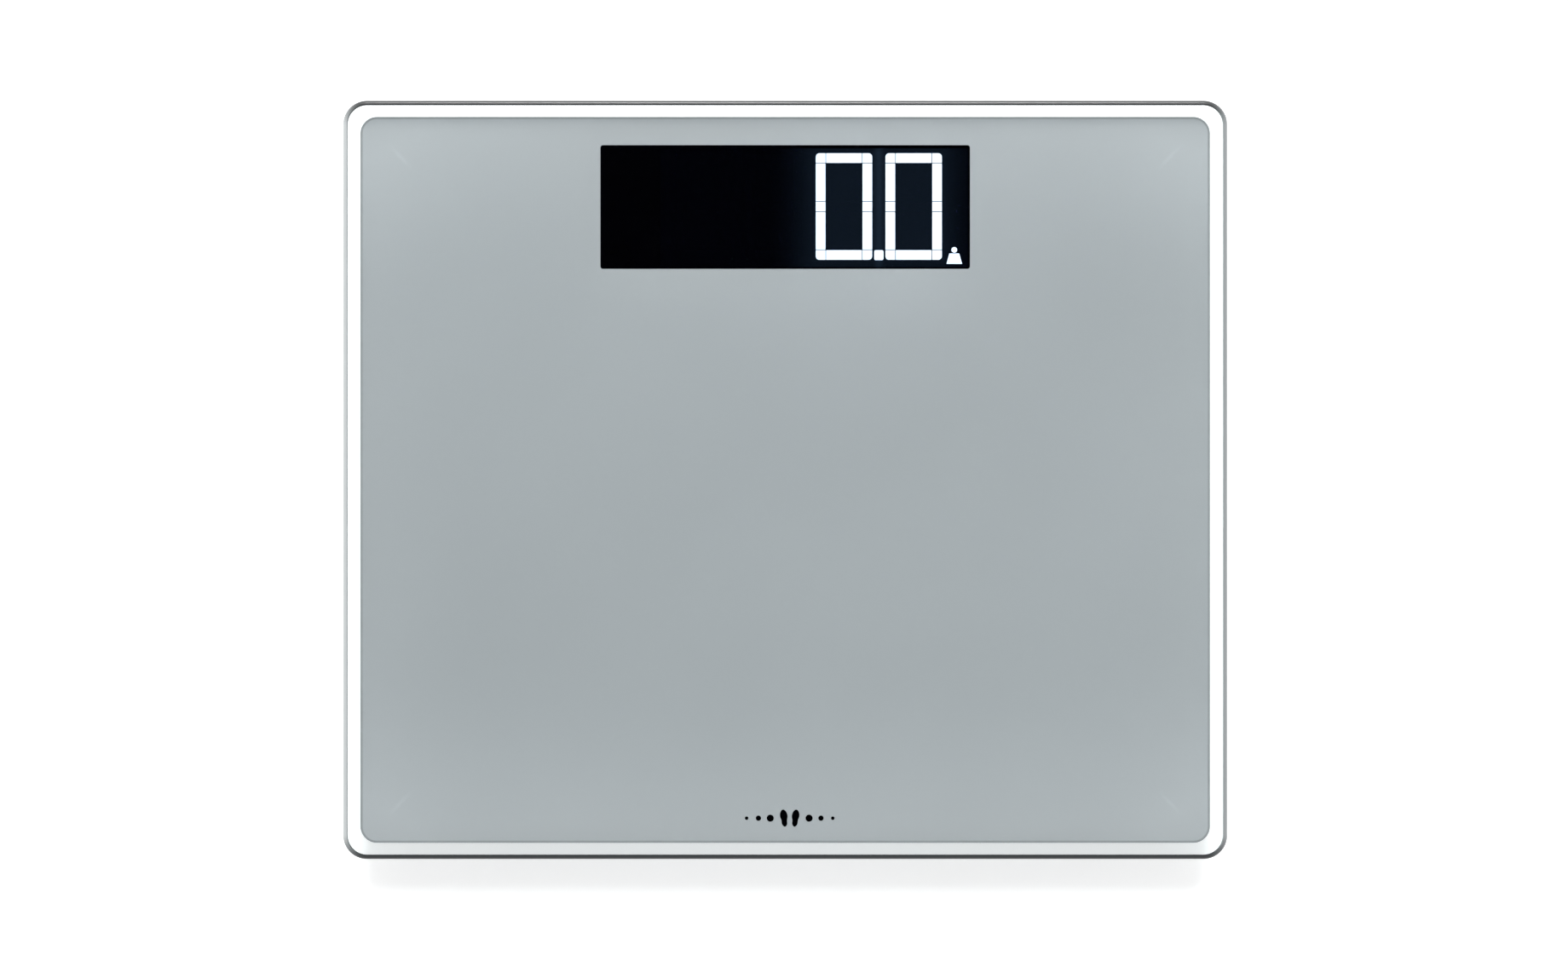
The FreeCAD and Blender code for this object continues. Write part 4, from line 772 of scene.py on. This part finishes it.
def segments():
    # the lit digits read 0.0: every cell but the centre bar, with the point and the weight pictogram lit
    weight = {"from": 5.1 * mm, "footHalf": 3.3 * mm, "topHalf": 2.1 * mm, "footUp": -1.6 * mm,
              "topUp": 2.8 * mm, "knobUp": 4.3 * mm, "knobRadius": 1.2 * mm}
    low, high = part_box("segment_diffusers")
    litLoops, darkLoops = [], []
    for index in range(4):
        for (column, row), outline in digitCells(display["lastX"] - index * display["pitch"]):
            isLit = index < display["litDigits"] and (column, row) != (0, 0)
            (litLoops if isLit else darkLoops).append(outline)
    base = display["middleY"] - display["digitHigh"] / 2
    pointX = display["lastX"] - display["pitch"] / 2
    litLoops.append(roundedLoop(3.9 * mm, 4.2 * mm, 0.7 * mm, (pointX, base + 2.1 * mm), 4))
    weightX = display["lastX"] + display["digitWide"] / 2 + weight["from"]
    foot, top = base + weight["footUp"], base + weight["topUp"]
    litLoops.append([(weightX - weight["footHalf"], foot), (weightX + weight["footHalf"], foot),
                     (weightX + weight["topHalf"], top), (weightX - weight["topHalf"], top)])
    litLoops.append(disc(weightX, base + weight["knobUp"], weight["knobRadius"]))
    for name, loops, material in (("litSegments", litLoops, lit), ("darkSegments", darkLoops, unlit)):
        piece = addPiece(flatPlate(name, loops, low.z, high.z), name, material)
        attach(piece, "platform")
        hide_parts("segment_diffusers")


# Screws, springs, wires and foot pads

screwSets = {
    "rear_cover_screws": {"headThick": 1.6 * mm, "shankRadius": 1.25 * mm},
    "display_screws": {"headThick": 1.2 * mm, "shankRadius": 1.0 * mm},
    "main_board_screws": {"headThick": 1.2 * mm, "shankRadius": 1.0 * mm},
    "load_cell_screws": {"headThick": 1.3 * mm, "shankRadius": 1.2 * mm},
}


def screwTree(name, turned):
    # cross-head screws, one on each point: a turned body with the two slots of the recess cut from its head
    tree, given = newTree(name, slotLong=2.8 * mm, slotWide=0.8 * mm, slotDeep=1.0 * mm)
    body = addNode(tree, "GeometryNodeObjectInfo", {"Object": turned})
    slots = []
    for across in (("slotLong", "slotWide"), ("slotWide", "slotLong")):
        size = addNode(
            tree, "ShaderNodeCombineXYZ", {0: given[across[0]], 1: given[across[1]], 2: given["slotDeep"]})
        cube = addNode(tree, "GeometryNodeMeshCube", {"Size": size.outputs[0]})
        slots.append(cube.outputs["Mesh"])
    recessed = addNode(
        tree, "GeometryNodeMeshBoolean", {"Mesh 1": body.outputs["Geometry"]}, operation="DIFFERENCE")
    for slot in slots:
        tree.links.new(slot, recessed.inputs["Mesh 2"])
    placed = addNode(
        tree, "GeometryNodeInstanceOnPoints",
        {"Points": given["Geometry"], "Instance": recessed.outputs["Mesh"]})
    endTree(tree, placed.outputs[0], zincSteel)
    return tree


def turnedScrew(headRadius, headThick, shankRadius, shankLong):
    # pan head downwards with its face on the origin; the thread is a row of shallow rings
    turns = 9
    profile = [(0, 0), (headRadius * 0.7, 0), (headRadius * 0.92, headThick * 0.16),
               (headRadius, headThick * 0.45), (headRadius, headThick), (shankRadius * 0.8, headThick)]
    for turn in range(turns):
        z = headThick + (turn + 0.5) / turns * shankLong * 0.92
        profile += [(shankRadius, z), (shankRadius * 0.78, z + 0.5 / turns * shankLong * 0.92)]
    profile.append((0, headThick + shankLong))
    return bpy.data.objects.new("turnedScrew", lathe(profile, steps=24))


def screws():
    for node, size in screwSets.items():
        shape, parts = looseParts(nodes[node].data)
        shape.free()
        points = [((low.x + high.x) / 2, (low.y + high.y) / 2, low.z) for _, low, high in parts]
        low, high = parts[0][1], parts[0][2]
        wide = high.x - low.x
        shankLong = high.z - low.z - size["headThick"]
        turned = turnedScrew(wide / 2, size["headThick"], size["shankRadius"], shankLong)
        name = node.replace("_screws", "") + "Screws"
        sizes = {"slotLong": wide * 0.56, "slotWide": wide * 0.15, "slotDeep": size["headThick"] * 0.8 * 2}
        piece = meshFromTree(screwTree(name, turned), name, zincSteel, points, **sizes)
        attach(piece, "platform")
        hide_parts(node)


def springs():
    # conical battery springs, wide end on the contact plate
    wireRadius = 0.25 * mm
    tree, given = newTree("coilSpring", turns=3.5, wide=3.1 * mm, narrow=2.1 * mm, long=3.6 * mm,
                          wire=wireRadius, turn=math.pi / 2)
    coil = addNode(
        tree, "GeometryNodeCurveSpiral",
        {"Resolution": 40, "Rotations": given["turns"], "Start Radius": given["wide"],
         "End Radius": given["narrow"], "Height": given["long"]})
    section = addNode(tree, "GeometryNodeCurvePrimitiveCircle", {"Resolution": 10, "Radius": given["wire"]})
    wire = addNode(
        tree, "GeometryNodeCurveToMesh",
        {"Curve": coil.outputs[0], "Profile Curve": section.outputs[0], "Fill Caps": True})
    angle = addNode(tree, "ShaderNodeCombineXYZ", {1: given["turn"]})
    placed = addNode(
        tree, "GeometryNodeInstanceOnPoints",
        {"Points": given["Geometry"], "Instance": wire.outputs[0], "Rotation": angle.outputs[0]})
    endTree(tree, placed.outputs[0], nickelSteel)
    shape, parts = looseParts(nodes["battery_springs"].data)
    shape.free()
    middle = (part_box("battery_springs")[0].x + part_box("battery_springs")[1].x) / 2
    for name, side, turn in (("leftSprings", -1, math.pi / 2), ("rightSprings", 1, -math.pi / 2)):
        points = []
        for _, low, high in parts:
            if (low.x + high.x - 2 * middle) * side > 0:
                x = low.x + wireRadius if side < 0 else high.x - wireRadius
                points.append((x, (low.y + high.y) / 2, (low.z + high.z) / 2))
        piece = meshFromTree(tree, name, nickelSteel, points, turn=turn)
        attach(piece, "platform")
        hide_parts("battery_springs")


def leads():
    # three insulated wires side by side: red, white and black
    for corner in corners:
        node = f"load_cell_lead_{corner}"
        shape, parts = looseParts(nodes[node].data)
        for index, (found, _, _) in enumerate(parts):
            for face in found:
                face.material_index = index % 3
        piece = addPiece(finished(shape, 50), f"leadWires_{corner}", redPvc, whitePvc, blackPvc)
        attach(piece, "platform")
        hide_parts(node)


def footPads():
    # rubber pads turned with two ring grooves, and rings of small grip nubs on the outer land
    pad = {"grooves": ((6.0, 0.8), (11.0, 0.8)), "grooveWide": 1.4, "land": 0.25, "landFrom": 13.2,
           "landTo": 19.6, "round": 0.6, "nubRadius": 0.45 * mm}
    tree, given = newTree("gripNubs", nubRadius=pad["nubRadius"], nubHigh=pad["land"] * mm)
    ball = addNode(
        tree, "GeometryNodeMeshUVSphere", {"Segments": 10, "Rings": 6, "Radius": given["nubRadius"]})
    flatness = addNode(
        tree, "ShaderNodeMath", {0: given["nubHigh"], 1: given["nubRadius"]}, operation="DIVIDE")
    squash = addNode(tree, "ShaderNodeCombineXYZ", {0: 1.0, 1: 1.0, 2: flatness.outputs[0]})
    rings = []
    for radius, count in ((14.3, 44), (16.4, 50), (18.5, 56)):
        ring = addNode(tree, "GeometryNodeMeshCircle", {"Vertices": count, "Radius": radius * mm})
        nubs = addNode(
            tree, "GeometryNodeInstanceOnPoints",
            {"Points": ring.outputs[0], "Instance": ball.outputs["Mesh"], "Scale": squash.outputs[0]})
        rings.append(nubs.outputs[0])
    joined = addNode(tree, "GeometryNodeJoinGeometry")
    for ring in rings:
        tree.links.new(ring, joined.inputs[0])
    placed = addNode(
        tree, "GeometryNodeInstanceOnPoints", {"Points": given["Geometry"], "Instance": joined.outputs[0]})
    endTree(tree, placed.outputs[0], rubber)
    for corner in corners:
        low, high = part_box(f"foot_pad_{corner}")
        x, y, radius = (low.x + high.x) / 2, (low.y + high.y) / 2, (high.x - low.x) / 2
        profile = [(0, low.z)]
        for start, depth in pad["grooves"]:
            end = start + pad["grooveWide"]
            profile += [((start - 0.2) * mm, low.z), (start * mm, low.z + 0.2 * mm),
                        ((start + 0.15) * mm, low.z + depth * mm), ((end - 0.15) * mm, low.z + depth * mm),
                        (end * mm, low.z + 0.2 * mm), ((end + 0.2) * mm, low.z)]
        for at, up in ((pad["landFrom"], 0), (pad["landFrom"] + 0.2, pad["land"]),
                       (pad["landTo"] - 0.2, pad["land"]), (pad["landTo"], 0)):
            profile.append((at * mm, low.z + up * mm))
        for step in range(6):
            angle = step / 5 * math.pi / 2
            profile.append((radius - pad["round"] * mm * (1 - math.sin(angle)),
                            low.z + pad["round"] * mm * (1 - math.cos(angle))))
        profile += [(radius, high.z), (0, high.z)]
        body = addPiece(lathe(profile, (x, y), 96), f"rubberPad_{corner}", rubber)
        nubs = meshFromTree(tree, f"gripNubs_{corner}", rubber, [(x, y, low.z + pad["land"] * mm)])
        for piece in (body, nubs):
            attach(piece, f"foot_{corner}")
            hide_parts(f"foot_pad_{corner}")


screws()
springs()
leads()
footPads()
print("screws, springs, wires and pads made")

glassPlate()
enamelPrint()
displayMask()
standingMark()
segments()
print("glass and display made")


# Stage, lights and camera

studio = {
    "floor": "#FFFFFF", "floorGlow": 0.44, "horizon": 1.05, "dome": 0.45, "keyPower": 163.0, "keySize": 1.45,
    "keyPlace": (0, 3.8, 2.85), "lens": 110, "filmWide": 0.661,
}


def stage():
    # white acrylic on a light table: faintly lit from below, so that shadows stay pale
    material = newFinish(
        "lightTableAcrylic", Base_Color=linear(studio["floor"]), Roughness=0.9,
        Emission_Color=linear(studio["floor"]), Emission_Strength=studio["floorGlow"])[0]
    mesh = bpy.data.meshes.new("studioFloor")
    mesh.from_pydata([(-4, -4, 0), (4, -4, 0), (4, 4, 0), (-4, 4, 0)], [], [(0, 1, 2, 3)])
    floor = addPiece(mesh, "studioFloor", material)


def world():
    # a studio dome: bright walls at the horizon, softer above, and a dark hood overhead round the camera
    scene = bpy.context.scene
    scene.world = bpy.data.worlds.new("studio")
    scene.world.use_nodes = True
    tree = scene.world.node_tree
    up = addNode(tree, "ShaderNodeSeparateXYZ", {0: addNode(tree, "ShaderNodeTexCoord").outputs["Generated"]})
    walls = addNode(
        tree, "ShaderNodeMapRange",
        {"Value": up.outputs["Z"], "From Min": 0.12, "From Max": 0.4, "To Min": studio["horizon"],
         "To Max": studio["dome"]}, interpolation_type="SMOOTHSTEP")
    hood = addNode(
        tree, "ShaderNodeMapRange",
        {"Value": up.outputs["Z"], "From Min": 0.93, "From Max": 0.965, "To Min": 1.0, "To Max": 0.0})
    level = addNode(tree, "ShaderNodeMath", {0: walls.outputs[0], 1: hood.outputs[0]}, operation="MULTIPLY")
    tree.links.new(level.outputs[0], tree.nodes["Background"].inputs["Color"])


def keyLight():
    lamp = bpy.data.lights.new("softKey", "AREA")
    lamp.shape = "DISK"
    lamp.size = studio["keySize"]
    lamp.energy = studio["keyPower"]
    holder = bpy.data.objects.new("softKey", lamp)
    bpy.context.scene.collection.objects.link(holder)
    holder.location = studio["keyPlace"]
    holder.rotation_euler = (Vector((0, 0, 0)) - holder.location).to_track_quat("-Z", "Y").to_euler()


def camera():
    # straight above the glass
    shot = bpy.data.cameras.new("overhead")
    shot.lens = studio["lens"]
    holder = bpy.data.objects.new("overhead", shot)
    bpy.context.scene.collection.objects.link(holder)
    distance = studio["filmWide"] * shot.lens / shot.sensor_width
    holder.location = (-0.5 * mm, -0.25 * mm, glassHigh.z + distance)
    bpy.context.scene.camera = holder


stage()
world()
keyLight()
camera()
bpy.context.scene.view_settings.view_transform = "Standard"
bpy.context.scene.cycles.use_denoising = True
print("stage set")
